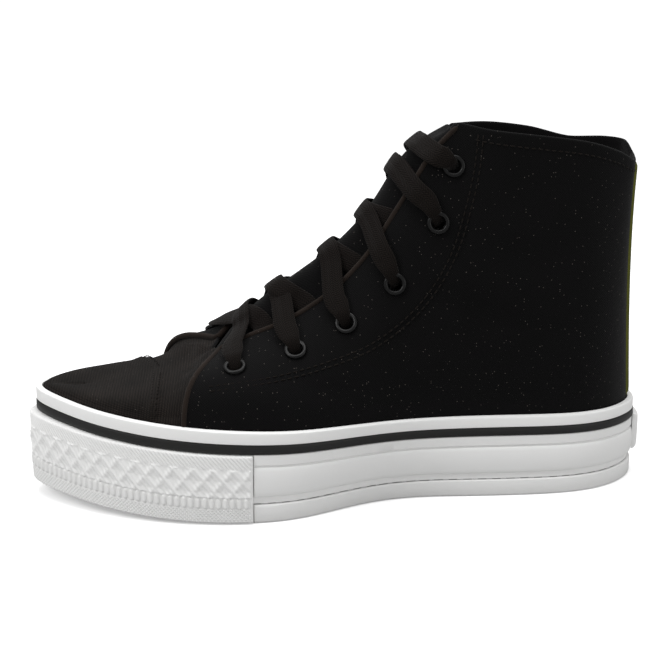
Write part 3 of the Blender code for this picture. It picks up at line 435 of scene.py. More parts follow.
class Plan:
    """The sole's plan as a curve: share 0 at the heel, 1 at the toe, on either side."""

    STEPS = 24
    # Where the sole starts to rise towards the toe, and how the rise grows
    SPRING_START = 0.68
    SPRING_POWER = 2.2
    # Where the wall is undercut most at the waist, and over how much of the length
    WAIST_STATION = 0.45
    WAIST_SPREAD = 0.13

    def __init__(self) -> None:
        """Read the curve and its outward directions from the outline's rows."""
        rows = OUTER_PLAN + INNER_PLAN
        knots = np.array([(sole_x(row.station), row.side * row.width) for row in rows])
        curve = closed_spline(knots, self.STEPS)
        ring = np.concatenate([curve, curve[:1]])
        length = run_length(ring)
        toe = len(OUTER_PLAN) * self.STEPS
        share = np.where(np.arange(len(ring)) <= toe, length / length[toe],
                         1 - (length - length[toe]) / (length[-1] - length[toe]))
        along = np.roll(curve, -1, axis=0) - np.roll(curve, 1, axis=0)
        out = unit(np.stack([-along[:, 1], along[:, 0]], axis=1))
        out = np.concatenate([out, out[:1]])
        self.halves = {
            Side.OUTER: (share[:toe + 1], ring[:toe + 1], out[:toe + 1]),
            Side.INNER: (share[toe:][::-1], ring[toe:][::-1], out[toe:][::-1]),
        }

    def at(self, side: Side, share: Array) -> tuple[Array, Array]:
        """Points of the plan and its outward directions at shares of one side.

        Args:
            side: The half of the shoe.
            share: Shares of the half outline.

        Returns:
            Points and directions.
        """
        shares, ring, out = self.halves[side]
        return read_rows(share, shares, ring), unit(read_rows(share, shares, out))

    def ground(self, x: Array) -> Array:
        """Height of the sole's bottom: flat, then rising under the toe."""
        start, end = sole_x(self.SPRING_START), sole_x(TOE_STATION)
        return TOE_SPRING * np.clip((start - x) / (start - end), 0, 1) ** self.SPRING_POWER

    @staticmethod
    def wall_top(x: Array) -> Array:
        """Height of the foxing's upper edge.

        Args:
            x: Positions along the shoe.

        Returns:
            The heights there.
        """
        stations = [sole_x(share) for share in (TOE_STATION, 0.92, 0.70, 0.47, 0.26, 0.0)]
        mid = HEEL_WALL + 0.48 * (BALL_WALL - HEEL_WALL)
        rear = HEEL_WALL + 0.25 * (BALL_WALL - HEEL_WALL)
        toe = TOE_WALL + TOE_SPRING
        near_toe = 0.45 * BALL_WALL + 0.55 * toe
        return monotone(stations, [toe, near_toe, BALL_WALL, mid, rear, HEEL_WALL], x)

    def wall(self, side: Side, share: Array, level: Array, depth: Array) -> Array:
        """Points on the sole's wall.

        Args:
            side: The half of the shoe.
            share: Shares of the half outline from heel to toe.
            level: Shares of the wall's height from the ground.
            depth: How far the points lie inside the plan, on top of the wall's undercut.

        Returns:
            One point for each share.
        """
        point, out = self.at(side, share)
        low, high = self.ground(point[:, 0]), self.wall_top(point[:, 0])
        from_waist = point[:, 0] - sole_x(self.WAIST_STATION)
        waist = np.exp(-(from_waist / (self.WAIST_SPREAD * SOLE_LENGTH)) ** 2)
        inset = depth + (1 - level) * (BOTTOM_UNDERCUT + WAIST_UNDERCUT * waist)
        flat = point - out * np.broadcast_to(inset, len(point))[:, None]
        return np.column_stack([flat, low + level * (high - low)])

    def ring(self, shares: Array, level: float, depth: Array | float) -> Array:
        """One closed loop of wall points, outer side heel to toe and back on the inner side.

        Args:
            shares: Shares of the half outline.
            level: Share of the wall's height.
            depth: How far the points lie inside the plan.

        Returns:
            The loop's points.
        """
        deep = np.broadcast_to(depth, len(shares))
        outer = self.wall(Side.OUTER, shares, level, deep)
        inner = self.wall(Side.INNER, shares, level, deep)
        return np.concatenate([outer, inner[-2:0:-1]])


class Half:
    """The curves of one half of the upper."""

    # Share of the ball's width that the ridge swings inwards ahead of a station
    RIDGE_SWING = 0.035
    RIDGE_START = 0.724
    RIDGE_POWER = 0.8

    def __init__(self, side: Side, plan: Plan, rows: tuple[Section, ...]) -> None:
        """Place the top edge of one half from its table.

        Args:
            side: The half of the shoe.
            plan: The sole's plan.
            rows: The sections of this half.
        """
        self.side = side
        self.plan = plan
        self.rows = np.array(rows)
        rank = np.arange(len(rows))
        width = np.where(rank < COLLAR_CORNER, COLLAR_WIDTH / 2, THROAT_WIDTH / 2)
        ahead = np.clip((self.rows[:, 1] - self.RIDGE_START) / (1 - self.RIDGE_START), 0, 1)
        swing = self.RIDGE_SWING * BALL_WIDTH * ahead ** self.RIDGE_POWER
        self.top = np.column_stack([
            sole_x(self.rows[:, 1]),
            side * width * self.rows[:, 2] + swing,
            HEEL_WALL + SHAFT_HEIGHT * self.rows[:, 3],
        ])
        self.inset = FOXING_THICKNESS + FOOT_GAPS * GAP

    def value(self, column: int, u: Array, table: Array) -> Array:
        """A column of the table at fractional row numbers, with its corners kept.

        Args:
            column: Number of the column.
            u: Row numbers.
            table: The table.

        Returns:
            One value for each row number.
        """
        out = np.empty(len(u))
        for first, last in zip(CORNERS, CORNERS[1:]):
            pick = (u >= first) & (u <= last)
            out[pick] = monotone(np.arange(first, last + 1), table[first:last + 1, column], u[pick])
        return out

    def surface(self, u: Array, rows: Array) -> Array:
        """Points of the outer face.

        Args:
            u: Fractional row numbers of the table, one for each column of points.
            rows: -1 to 0 climbs the lap inside the foxing, 0 to 1 the curve above it: the
                same for every column, or a line of them for each.

        Returns:
            An array of columns by rows by three.
        """
        foot = self.value(0, u, self.rows)
        point, out = self.plan.at(self.side, foot)
        start = np.column_stack([point - out * self.inset, self.plan.wall_top(point[:, 0])])
        top = np.column_stack([self.value(k, u, self.top) for k in range(3)])
        chord = np.linalg.norm(top - start, axis=1)[:, None]
        low, lean, high, drop, sweep = (self.value(k, u, self.rows)[:, None] for k in range(4, 9))
        up = np.array([0.0, 0.0, 1.0])
        rise = unit(up + lean * np.column_stack([out, np.zeros(len(u))]))
        turn, fall = np.radians(sweep), np.radians(drop)
        level = np.column_stack([-np.sin(turn), self.side * np.cos(turn), np.zeros(len(u))])
        first = start + rise * low * chord
        second = top + (level * np.cos(fall) - up * np.sin(fall)) * high * chord
        rows = np.broadcast_to(rows, (len(u), rows.shape[-1]))
        t = np.clip(rows, 0, 1)[..., None]
        curve = bezier(start[:, None], first[:, None], second[:, None], top[:, None], t)
        curve[:, :, 2] += np.minimum(rows, 0) * (FOXING_LAP - GAP)
        return curve

    def normal(self, u: Array, rows: Array) -> Array:
        """Outward directions at the same points, by small steps both ways.

        Args:
            u: Row numbers of the columns.
            rows: Climbs, as for surface.

        Returns:
            An array of columns by rows by three.
        """
        step = 0.02
        corners = np.array(CORNERS)
        stretch = np.clip(np.searchsorted(corners, u, side="left") - 1, 0, len(corners) - 2)
        ahead = self.surface(np.minimum(u + step, corners[stretch + 1]), rows)
        behind = self.surface(np.maximum(u - step, corners[stretch]), rows)
        above = self.surface(u, np.clip(rows + step, -1, 1))
        below = self.surface(u, np.clip(rows - step, -1, 1))
        return unit(np.cross(ahead - behind, above - below) * self.side)

    def spots(self, u: Array, t: Array, lift: Array | float = 0.0) -> Array:
        """Points at pairs of u and t, lifted off the outer face."""
        flat = self.surface(u, t[:, None])[:, 0]
        return flat + np.broadcast_to(lift, len(u))[:, None] * self.normal(u, t[:, None])[:, 0]

    def spot(self, u: float, t: float, lift: float = 0.0) -> Array:
        """One point at u and t, lifted off the outer face."""
        return self.spots(np.array([u]), np.array([t]), lift)[0]

    def outward(self, u: float, t: float) -> Array:
        """The direction out of the face at u and t."""
        return self.normal(np.array([u]), np.array([t]))[0, 0]

    def climb_under(self, u: Array, reach: float) -> Array:
        """The climbs of points that lie a distance down from the top edge.

        Args:
            u: Row numbers of the columns.
            reach: The distance.

        Returns:
            One climb for each column.
        """
        start, top = (self.surface(u, np.array([end]))[:, 0] for end in (0.0, 1.0))
        speed = 3 * self.value(6, u, self.rows) * np.linalg.norm(top - start, axis=1)
        return 1 - reach / speed


class Throat:
    """The tongue's outer face: an arch between the two halves of the upper."""

    # The crest above the throat's edges as a share of the shaft's height, from the collar's
    # corner to the throat's front
    RISE = (-0.020, 0.050, 0.135, 0.135, 0.131, 0.113, 0.066, 0.030)
    # How far under the quarters the tongue's lines lie
    REACH = (0.0, 0.006, 0.013)
    RISE_HANDLE = 0.6
    CREST_HANDLE = 0.55
    CLEARANCE = 0.0010

    def __init__(self, halves: Sequence[Half], arch: int = 16) -> None:
        """Keep a fine set of lines to read points from.

        Args:
            halves: The outer and the inner half.
            arch: Spans from an edge to the crest.
        """
        self.halves = halves
        self.arch = arch
        self.rows = np.linspace(COLLAR_CORNER, THROAT_FRONT, 8 * (THROAT_FRONT - COLLAR_CORNER) + 1)
        self.arches = np.array(self.lines(self.rows)[len(self.REACH) - 1:1 - len(self.REACH)])

    def under_edge(self, half: Half, u: Array, reach: float) -> Array:
        """Points a distance down from the top edge, under the wall."""
        return half.spots(u, half.climb_under(u, reach), -(WALL + self.CLEARANCE))

    def lines(self, u: Array) -> list[Array]:
        """Lines of points along the shoe, from under the outer quarter to under the inner one.

        Args:
            u: Row numbers of the points.

        Returns:
            The lines.
        """
        rise = monotone(np.arange(COLLAR_CORNER, THROAT_FRONT + 1), np.array(self.RISE), u)
        outer, inner = ([self.under_edge(half, u, reach) for reach in self.REACH] for half in self.halves)
        crest = 0.5 * (outer[0] + inner[0])
        crest[:, 2] += rise * SHAFT_HEIGHT
        steps = np.linspace(0, 1, self.arch + 1)[1:-1]
        left, right = (self.arc(line, crest, side, steps) for side, line in ((-1, outer), (1, inner)))
        return outer[::-1] + left + [crest] + right[::-1] + inner

    def arc(self, line: list[Array], crest: Array, side: int, steps: Array) -> list[Array]:
        """Lines between an edge of the throat and the crest, leaving each smoothly.

        Args:
            line: Lines under the edge, the edge's own first.
            crest: The crest's points.
            side: -1 on the outer side, 1 on the inner one.
            steps: Shares of the way to the crest.

        Returns:
            The lines.
        """
        away = unit(line[0] - line[1])
        width = np.abs(line[0][:, 1:2] - crest[:, 1:2])
        first = line[0] + away * self.RISE_HANDLE * width
        second = crest + side * np.array([0.0, 1.0, 0.0]) * self.CREST_HANDLE * width
        return [bezier(line[0], first, second, crest, k) for k in steps]

    def spot(self, u: float, across: float) -> Array:
        """A point of the arch: across runs from 0 at the outer edge to 1 at the inner edge.

        Args:
            u: Row number.
            across: Share of the way across.

        Returns:
            The point.
        """
        share = np.linspace(0, 1, len(self.arches))
        line = np.array([read_rows(u, self.rows, arch) for arch in self.arches])
        return read_rows(across, share, line)

    def outward(self, u: float, across: float) -> Array:
        """The direction out of the arch.

        Args:
            u: Row number.
            across: Share of the way across.

        Returns:
            The direction.
        """
        step = 0.1
        along = self.spot(u + step, across) - self.spot(u - step, across)
        width = self.spot(u, min(across + step, 1)) - self.spot(u, max(across - step, 0))
        return unit(np.cross(width, along))


@dataclass
class Patch:
    """A stretch of skin: rows and columns of points joined by quads."""

    points: Array
    uv: Array | None = None
    closed: bool = False
    slot: int = 0
    holes: Array | None = None

    def quads(self) -> Array:
        """Corner numbers of the quads that are kept.

        Returns:
            Four numbers for each quad.
        """
        rows, columns = self.points.shape[:2]
        index = np.arange(rows * columns).reshape(rows, columns)
        if self.closed:
            index = np.concatenate([index, index[:, :1]], axis=1)
        corners = (index[:-1, :-1], index[1:, :-1], index[1:, 1:], index[:-1, 1:])
        quads = np.stack(corners, axis=-1).reshape(-1, 4)
        if self.holes is None:
            return quads
        return quads[~self.holes.reshape(-1)[quads].all(axis=1)]

    def texture(self) -> Array:
        """Texture positions of the points, in metres along the skin where none were given.

        Returns:
            Two values for each point.
        """
        if self.uv is not None:
            return self.uv.reshape(-1, 2)
        down = np.linalg.norm(np.diff(self.points, axis=0), axis=2).mean(axis=1)
        over = np.linalg.norm(np.diff(self.points, axis=1), axis=2).mean(axis=0)
        v = np.concatenate([[0], np.cumsum(down)])
        u = np.concatenate([[0], np.cumsum(over)])
        return np.stack(np.meshgrid(u, v), axis=-1).reshape(-1, 2)


@dataclass
class Workshop:
    """Puts pieces in the scene, moved from the tables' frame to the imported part's frame."""

    shift: Array
    weld_reach: float = 2e-6

    def piece(self, name: str, patches: Sequence[Patch], finishes: Sequence[bpy.types.Material],
              replaces: Sequence[str] = (), angle: float = 40.0) -> bpy.types.Object:
        """Make one object of patches, give it its finishes and let it ride on the shoe.

        Args:
            name: Name of the object.
            patches: The stretches of skin.
            finishes: Materials, by the patches' slots.
            replaces: CAD nodes that the object stands for.
            angle: Edges that turn by more than this many degrees stay sharp.

        Returns:
            The object.
        """
        quads, start = [], 0
        for patch in patches:
            quads.append(patch.quads() + start)
            start += patch.points.shape[0] * patch.points.shape[1]
        faces = np.concatenate(quads)
        points = np.concatenate([patch.points.reshape(-1, 3) for patch in patches]) + self.shift
        texture = np.concatenate([patch.texture() for patch in patches])
        slots = np.concatenate([np.full(len(one), patch.slot) for one, patch in zip(quads, patches)])
        mesh = bpy.data.meshes.new(name)
        mesh.from_pydata(points.tolist(), [], faces.tolist())
        mesh.polygons.foreach_set("material_index", slots.astype(np.int32))
        layer = mesh.uv_layers.new(name="UVMap")
        layer.data.foreach_set("uv", texture[faces.ravel()].ravel())
        self.weld(mesh)
        mesh.shade_smooth()
        mesh.set_sharp_from_angle(angle=math.radians(angle))
        for finish in finishes:
            mesh.materials.append(finish)
        made = stand(name, mesh)
        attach(made, "root")
        if replaces:
            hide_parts(*replaces)
        LOG.info("%s: %d faces", name, len(mesh.polygons))
        return made

    def weld(self, mesh: bpy.types.Mesh) -> None:
        """Join points that coincide and turn the faces outwards.

        Args:
            mesh: The mesh.
        """
        bm = bmesh.new()
        bm.from_mesh(mesh)
        bmesh.ops.remove_doubles(bm, verts=bm.verts, dist=self.weld_reach)
        bmesh.ops.recalc_face_normals(bm, faces=bm.faces)
        bm.to_mesh(mesh)
        bm.free()


def linear(text: str) -> tuple[float, float, float, float]:
    """The linear colour of an sRGB hex string.

    Args:
        text: The colour, as #rrggbb.

    Returns:
        Red, green, blue and an alpha of 1.
    """
    parts = [int(text[i:i + 2], 16) / 255 for i in (1, 3, 5)]
    shares = [part / 12.92 if part <= 0.04045 else ((part + 0.055) / 1.055) ** 2.4 for part in parts]
    return (*shares, 1.0)


class Nodes:
    """Adds nodes to one material and links them."""

    def __init__(self, name: str) -> None:
        """Start a material with its one Principled shader.

        Args:
            name: Name of the material.
        """
        self.material = bpy.data.materials.new(name)
        self.material.use_nodes = True
        self.tree = self.material.node_tree
        self.shader = self.tree.nodes["Principled BSDF"]

    def add(self, kind: str, inputs: dict[str | int, object] | None = None,
            output: str | int = 0, **settings: object) -> bpy.types.NodeSocket:
        """Add one node.

        Args:
            kind: Type of the node after "ShaderNode".
            inputs: Values or sockets for the inputs, by name or number.
            output: The output wanted.
            settings: The node's own settings.

        Returns:
            The output's socket.
        """
        node = self.tree.nodes.new("ShaderNode" + kind)
        for key, value in settings.items():
            setattr(node, key, value)
        for key, value in (inputs or {}).items():
            self.put(node.inputs[key], value)
        return node.outputs[output]

    def put(self, target: bpy.types.NodeSocket, value: object) -> None:
        """Link a socket to an input, or set the input's value.

        Args:
            target: The input.
            value: A socket or a value.
        """
        if isinstance(value, bpy.types.NodeSocket):
            self.tree.links.new(value, target)
        else:
            target.default_value = value

    def math(self, operation: str, first: object, second: object = 0.0) -> bpy.types.NodeSocket:
        """The result of a sum on two values."""
        return self.add("Math", {0: first, 1: second}, operation=operation)

    def mix(self, share: object, first: object, second: object) -> bpy.types.NodeSocket:
        """A colour between two colours."""
        return self.add("Mix", {0: share, 6: first, 7: second}, output=2, data_type="RGBA")

    def noise(self, place: bpy.types.NodeSocket, scale: float, detail: float) -> bpy.types.NodeSocket:
        """Cloudy noise at a place."""
        return self.add("TexNoise", {"Vector": place, "Scale": scale, "Detail": detail})

    def bump(self, height: bpy.types.NodeSocket, strength: float, relief: float) -> bpy.types.NodeSocket:
        """Normals bent by a height, relief metres high at a strength of 1."""
        return self.add("Bump", {"Height": height, "Strength": strength, "Distance": relief})

    def surface(self, **values: object) -> bpy.types.Material:
        """Set the shader's inputs, named with _ for spaces, and return the material.

        Args:
            values: Sockets or values, by the inputs' names.

        Returns:
            The material.
        """
        for key, value in values.items():
            self.put(self.shader.inputs[key.replace("_", " ")], value)
        return self.material


@dataclass(frozen=True)
class Canvas:
    """Plain-woven cotton canvas with small bright flecks."""

    name: str
    thread: str
    light: str
    pitch: float
    relief: float
    fleck: str = "#4c4743"
    fleck_cell: float = 0.0009
    fleck_share: float = 0.08
    turn: float = 0.0
    sheen: float = 0.06
    wander_scale: float = 420.0
    wander: float = 2.2
    cloud_scale: float = 60.0
    fleck_reach: float = 0.22
    bump: float = 0.8
    roughness: float = 0.92
    sheen_roughness: float = 0.45
    specular: float = 0.12

    @cache
    def build(self) -> bpy.types.Material:
        """Make the material on the piece's own texture positions.

        Returns:
            The material.
        """
        nodes = Nodes(self.name)
        uv = nodes.add("UVMap", uv_map="UVMap")
        turned = nodes.add("Mapping", {"Vector": uv, "Rotation": (0.0, 0.0, self.turn)})
        wander = nodes.noise(turned, self.wander_scale, 2.0)
        split = nodes.add("SeparateXYZ", {0: turned})
        across = split.node.outputs[1]
        waves = []
        for place in (split, across):
            phase = nodes.math("MULTIPLY", place, 2 * math.pi / self.pitch)
            shifted = nodes.math("ADD", phase, nodes.math("MULTIPLY", wander, self.wander))
            waves.append(nodes.math("SINE", shifted))
        weave = nodes.math("MULTIPLY", waves[0], waves[1])
        height = nodes.math("MULTIPLY_ADD", weave, 0.5)
        height.node.inputs[2].default_value = 0.5
        cloud = nodes.noise(turned, self.cloud_scale, 3.0)
        tint = nodes.math("MULTIPLY", height, cloud)
        # Thread colour in the weave's hollows and light colour on its crests, mottled by the cloud; on the
        # vamp the light colour is painted sheen.
        cloth = nodes.mix(tint, linear(self.thread), linear(self.light))
        # Small bright flecks in a random share of the cells of a fine grid, mixed into the colour.
        cell = nodes.add("TexVoronoi", {"Vector": turned, "Scale": 1 / self.fleck_cell}, output="Distance")
        colour = nodes.add("SeparateColor", {0: cell.node.outputs["Color"]})
        chosen = nodes.math("LESS_THAN", colour, self.fleck_share)
        near = nodes.math("LESS_THAN", cell, self.fleck_reach)
        bright_specks = nodes.math("MULTIPLY", chosen, near)
        base = nodes.mix(bright_specks, cloth, linear(self.fleck))
        return nodes.surface(Base_Color=base, Roughness=self.roughness, Sheen_Weight=self.sheen,
                             Normal=nodes.bump(height, self.bump, self.relief),
                             Sheen_Roughness=self.sheen_roughness, Specular_IOR_Level=self.specular)


@dataclass(frozen=True)
class Knit:
    """Herringbone tape of a flat cotton lace."""

    name: str
    thread: str
    light: str
    pitch: float
    width: float
    relief: float
    wander_scale: float = 500.0
    wander: float = 2.5
    cross: float = 0.5
    contrast: float = 0.33
    bump: float = 0.9
    roughness: float = 0.9
    sheen: float = 0.08
    sheen_roughness: float = 0.4
    specular: float = 0.12

    @cache
    def build(self) -> bpy.types.Material:
        """Make the material: ribs that slant away from the lace's middle.

        Returns:
            The material.
        """
        nodes = Nodes(self.name)
        uv = nodes.add("UVMap", uv_map="UVMap")
        across = nodes.add("SeparateXYZ", {0: uv})
        along = across.node.outputs[1]
        ripple = nodes.math("PINGPONG", across, self.width / 4)
        slanted = nodes.math("ADD", along, ripple)
        wander = nodes.noise(uv, self.wander_scale, 2.0)
        phase = nodes.math("MULTIPLY", slanted, 2 * math.pi / self.pitch)
        rib = nodes.math("SINE", nodes.math("ADD", phase, nodes.math("MULTIPLY", wander, self.wander)))
        cross = nodes.math("SINE", nodes.math("MULTIPLY", across, 2 * math.pi / self.pitch))
        both = nodes.math("ADD", rib, nodes.math("MULTIPLY", cross, self.cross))
        height = nodes.math("MULTIPLY_ADD", both, self.contrast)
        height.node.inputs[2].default_value = 0.5
        base = nodes.mix(height, linear(self.thread), linear(self.light))
        return nodes.surface(Base_Color=base, Roughness=self.roughness, Sheen_Weight=self.sheen,
                             Normal=nodes.bump(height, self.bump, self.relief),
                             Sheen_Roughness=self.sheen_roughness, Specular_IOR_Level=self.specular)


@dataclass(frozen=True)
class Rubber:
    """Moulded rubber with a slightly uneven skin."""

    name: str
    colour: str
    roughness: float = 0.5
    relief: float = 0.00004
    grain_scale: float = 900.0
    bump: float = 0.4
    specular: float = 0.4

    @cache
    def build(self) -> bpy.types.Material:
        """Make the material.

        Returns:
            The material.
        """
        nodes = Nodes(self.name)
        place = nodes.add("TexCoord", output="Object")
        bump = nodes.bump(nodes.noise(place, self.grain_scale, 3.0), self.bump, self.relief)
        return nodes.surface(Base_Color=linear(self.colour), Roughness=self.roughness, Normal=bump,
                             Specular_IOR_Level=self.specular)


@dataclass(frozen=True)
class Enamel:
    """Black lacquer on a metal eyelet."""

    name: str
    colour: str
    roughness: float = 0.32
    metallic: float = 0.6
    wear_scale: float = 1400.0
    bump: float = 0.2
    relief: float = 0.00003

    @cache
    def build(self) -> bpy.types.Material:
        """Make the material.

        Returns:
            The material.
        """
        nodes = Nodes(self.name)
        place = nodes.add("TexCoord", output="Object")
        bump = nodes.bump(nodes.noise(place, self.wear_scale, 2.0), self.bump, self.relief)
        return nodes.surface(Base_Color=linear(self.colour), Roughness=self.roughness,
                             Metallic=self.metallic, Normal=bump)


@dataclass(frozen=True)
class Finishes:
    """The finish of each part of the shoe."""

    quarter: Canvas = Canvas("quarter_canvas", "#020202", "#0b090b", 0.00105, 0.00014)
    # The vamp is the same black canvas as the quarters. Its lighter brown-grey weave crests are painted
    # sheen of the top light grazing the up-facing toe, with a lower shader sheen in its place.
    vamp: Canvas = Canvas("vamp_canvas_painted_sheen", "#000000", "#332c28", 0.00165, 0.00034, turn=0.9,
                            fleck_share=0.03, sheen=0.03)
    lining: Canvas = Canvas("lining_canvas", "#050405", "#121011", 0.0009, 0.0001, fleck_share=0.0)
    binding: Canvas = Canvas("binding_tape", "#15100d", "#3a302a", 0.0007, 0.0001, fleck_share=0.01)
    thread: Canvas = Canvas("sewing_thread", "#0d0a08", "#241d18", 0.0004, 0.00005, fleck_share=0.0)
    stay: Canvas = Canvas("stay_tape", "#3a3c12", "#7d8024", 0.0008, 0.0001, fleck_share=0.0)
    insole: Canvas = Canvas("insole_cloth", "#15130f", "#2b2722", 0.0010, 0.0001, fleck_share=0.0)
    lace: Knit = Knit("lace_cotton", "#030201", "#16100d", 0.0011, 0.0092, 0.00022)
    white: Rubber = Rubber("white_rubber", "#f0f0ef")
    black: Rubber = Rubber("black_rubber", "#121211", 0.5)
    metal: Enamel = Enamel("eyelet_enamel", "#101010")


@dataclass
class Sole:
    """Outsole, midsole, black line, toe bumper, heel label and insole."""

    plan: Plan
    steps: int = 240
    tread_rim: float = 0.0060
    tread_depth: float = 0.0015
    tread_pitch: float = 0.0062
    groove: float = 0.0009
    recess: float = 0.0013
    bulge: float = 0.0005
    stripe_depth: float = 0.0011
    stripe_proud: float = 0.0002
    bumper_low: float = 0.015
    bumper_proud: float = 0.0011
    bumper_toe_proud: float = 0.0030
    label_width: float = 0.0220
    label_height: float = 0.0160
    label_thickness: float = 0.0026
    # Share of the wall's height that the tab sits above the middle of its band
    label_rise: float = 0.07
    insole_thickness: float = 0.0040
    # The zigzag of the tread: its reach in pitches, the length of a leg, and the grooves' half
    # width and slope in pitches
    zigzag: float = 0.35
    zigzag_leg: float = 0.012
    tread_half: float = 0.12
    tread_slope: float = 0.06
    # Share of the outline over which the wall steps in under the bumper
    bumper_step: float = 0.0012

    def shares(self) -> Array:
        """Shares of the half outline, heel to toe, with a step where the bumper ends.

        Returns:
            The shares.
        """
        rear = int(self.steps * BUMPER_END)
        return np.concatenate([
            np.linspace(0, BUMPER_END - self.bumper_step, rear),
            np.linspace(BUMPER_END, 1, self.steps - rear),
        ])

    def loops(self, profile: Sequence[tuple[float, float]]) -> Patch:
        """Closed loops up the wall for pairs of level and depth, sunk under the bumper.

        Args:
            profile: The pairs, from the ground up.

        Returns:
            The wall's skin.
        """
        shares = self.shares()
        covered = shares >= BUMPER_END - 1e-9
        rows = []
        for level, depth in profile:
            sunk = covered & (level < STRIPE_LOW - 0.009)
            rows.append(self.plan.ring(shares, level, np.where(sunk, BUMPER_SEAT, depth)))
        return Patch(np.array(rows), closed=True)

    def lid(self, loop: Array, steps: int, height: Callable[[Array], Array]) -> Patch:
        """Rows across the inside of a closed loop, raised by a function of their points.

        Args:
            loop: The loop's points.
            steps: Points across.
            height: Gives heights over the loop's plane.

        Returns:
            The lid's skin.
        """
        half = len(loop) // 2
        left, right = loop[:half + 1], np.concatenate([loop[:1], loop[:half - 1:-1]])
        k = np.linspace(0, 1, steps)[None, :, None]
        points = left[:, None] * (1 - k) + right[:, None] * k
        inside = np.minimum(k, 1 - k)[..., 0] > 0
        points[..., 2] += np.where(inside, height(points), 0.0)
        return Patch(points)

    def tread(self, points: Array) -> Array:
        """Height of the grooves between the tread's zigzag bars.

        Args:
            points: Points of the bottom.

        Returns:
            One height for each.
        """
        zigzag = self.zigzag * np.abs((points[..., 1] / self.zigzag_leg) % 2 - 1)
        phase = (points[..., 0] / self.tread_pitch + zigzag) % 1
        bar = smooth_step((np.abs(phase - 0.5) - self.tread_half) / self.tread_slope)
        return self.tread_depth * (1 - bar)

    def outsole(self, shop: Workshop, looks: Finishes) -> None:
        """Bottom rubber with its tread.

        Args:
            shop: Makes the pieces.
            looks: The finishes.
        """
        profile = ((0.0, self.tread_rim), (0.0, 0.0010), (0.010, 0.0003), (0.030, 0.0), (0.180, 0.0),
                   (0.196, 0.0001), (0.203, 0.0004), (OUTSOLE_TOP, 0.0014))
        side = self.loops(profile)
        bottom = self.lid(side.points[0], 25, self.tread)
        shop.piece("outsole_skin", [side, bottom], [looks.white.build()], ["outsole"])

    def midsole(self, shop: Workshop, looks: Finishes) -> None:
        """Rubber wall with its recess, pillowed panel, groove and the black line's slot.

        Args:
            shop: Makes the pieces.
            looks: The finishes.
        """
        middle = 0.5 * (RECESS_TOP + PANEL_TOP)
        low = [(OUTSOLE_TOP + 0.006, self.recess + 0.0006), (OUTSOLE_TOP + 0.010, self.recess),
               (RECESS_TOP - 0.008, self.recess), (RECESS_TOP - 0.003, 0.7 * self.recess),
               (RECESS_TOP + 0.004, 0.15 * self.recess)]
        panel = [(middle + k * (PANEL_TOP - RECESS_TOP) * 0.46, -self.bulge * (1 - k * k))
                 for k in np.linspace(-1, 1, 9)]
        high = [(PANEL_TOP - 0.002, 0.3 * self.groove), (PANEL_TOP + 0.003, 0.9 * self.groove),
                (PANEL_TOP + 0.010, self.groove), (PANEL_TOP + 0.017, 0.9 * self.groove),
                (GROOVE_TOP + 0.002, 0.25 * self.groove), (GROOVE_TOP + 0.008, 0.0),
                (STRIPE_LOW - 0.012, 0.0), (STRIPE_LOW - 0.006, 0.0003),
                (STRIPE_LOW - 0.004, self.stripe_depth), (STRIPE_HIGH + 0.004, self.stripe_depth),
                (STRIPE_HIGH + 0.006, 0.0003), (STRIPE_HIGH + 0.012, 0.0),
                (0.972, 0.0), (0.990, 0.0002), (1.0, 0.0008), (1.0, FOXING_THICKNESS)]
        wall = self.loops(low + panel + high)
        inner = wall.points[-1].copy()
        floor = inner.copy()
        floor[:, 2] -= FOXING_LAP
        shelf = self.lid(floor, 3, lambda points: np.zeros(points.shape[:2]))
        lip = Patch(np.array([inner, floor]), closed=True)
        shop.piece("midsole_skin", [wall, lip, shelf], [looks.white.build()], ["midsole"])

    def stripe_points(self) -> Array:
        """Loops of the black line round the wall.

        Returns:
            The loops' points.
        """
        seat, proud = self.stripe_depth - GAP, self.stripe_proud
        middle = 0.5 * (STRIPE_LOW + STRIPE_HIGH)
        profile = ((STRIPE_LOW, seat), (STRIPE_LOW, 0.0), (STRIPE_LOW + 0.006, -0.8 * proud),
                   (middle, -proud), (STRIPE_HIGH - 0.006, -0.8 * proud), (STRIPE_HIGH, 0.0),
                   (STRIPE_HIGH, seat))
        shares = self.shares()
        return np.array([self.plan.ring(shares, level, depth) for level, depth in profile])

    def stripe(self, shop: Workshop, looks: Finishes) -> None:
        """The black line round the wall.

        Args:
            shop: Makes the pieces.
            looks: The finishes.
        """
        points = self.stripe_points()
        whole = np.concatenate([points, points[:1]])
        shop.piece("foxing_line", [Patch(whole, closed=True)], [looks.black.build()],
                   ["foxing_stripe"])

    def label(self, shop: Workshop, looks: Finishes) -> None:
        """Blank tab on the back of the sole.

        Args:
            shop: Makes the pieces.
            looks: The finishes.
        """
        centre = 0.5 * (OUTSOLE_TOP + STRIPE_LOW) + self.label_rise
        half = 0.5 * self.label_height / HEEL_WALL
        rear = np.linspace(0, 0.3, 121)
        reach, _ = self.plan.at(Side.OUTER, rear)
        sides = self.label_width / 2 * np.sin(np.linspace(-1, 1, 33) * math.pi / 2)
        share = np.interp(np.abs(sides), np.abs(reach[:, 1]), rear)
        rows = []
        for level in centre + half * np.sin(np.linspace(-math.pi / 2, math.pi / 2, 13)):
            edge = (1 - (np.abs(level - centre) / half) ** 8) * (1 - (np.abs(sides) / sides[-1]) ** 10)
            depth = -GAP - (self.label_thickness - GAP) * np.sqrt(np.clip(edge, 0, 1)) ** 0.5
            row = np.empty((len(sides), 3))
            for side in Side:
                pick = np.sign(sides + 1e-9) == side
                row[pick] = self.plan.wall(side, share[pick], level, depth[pick])
            rows.append(row)
        shop.piece("heel_tab", [Patch(np.array(rows))], [looks.white.build()],
                   ["heel_label"])

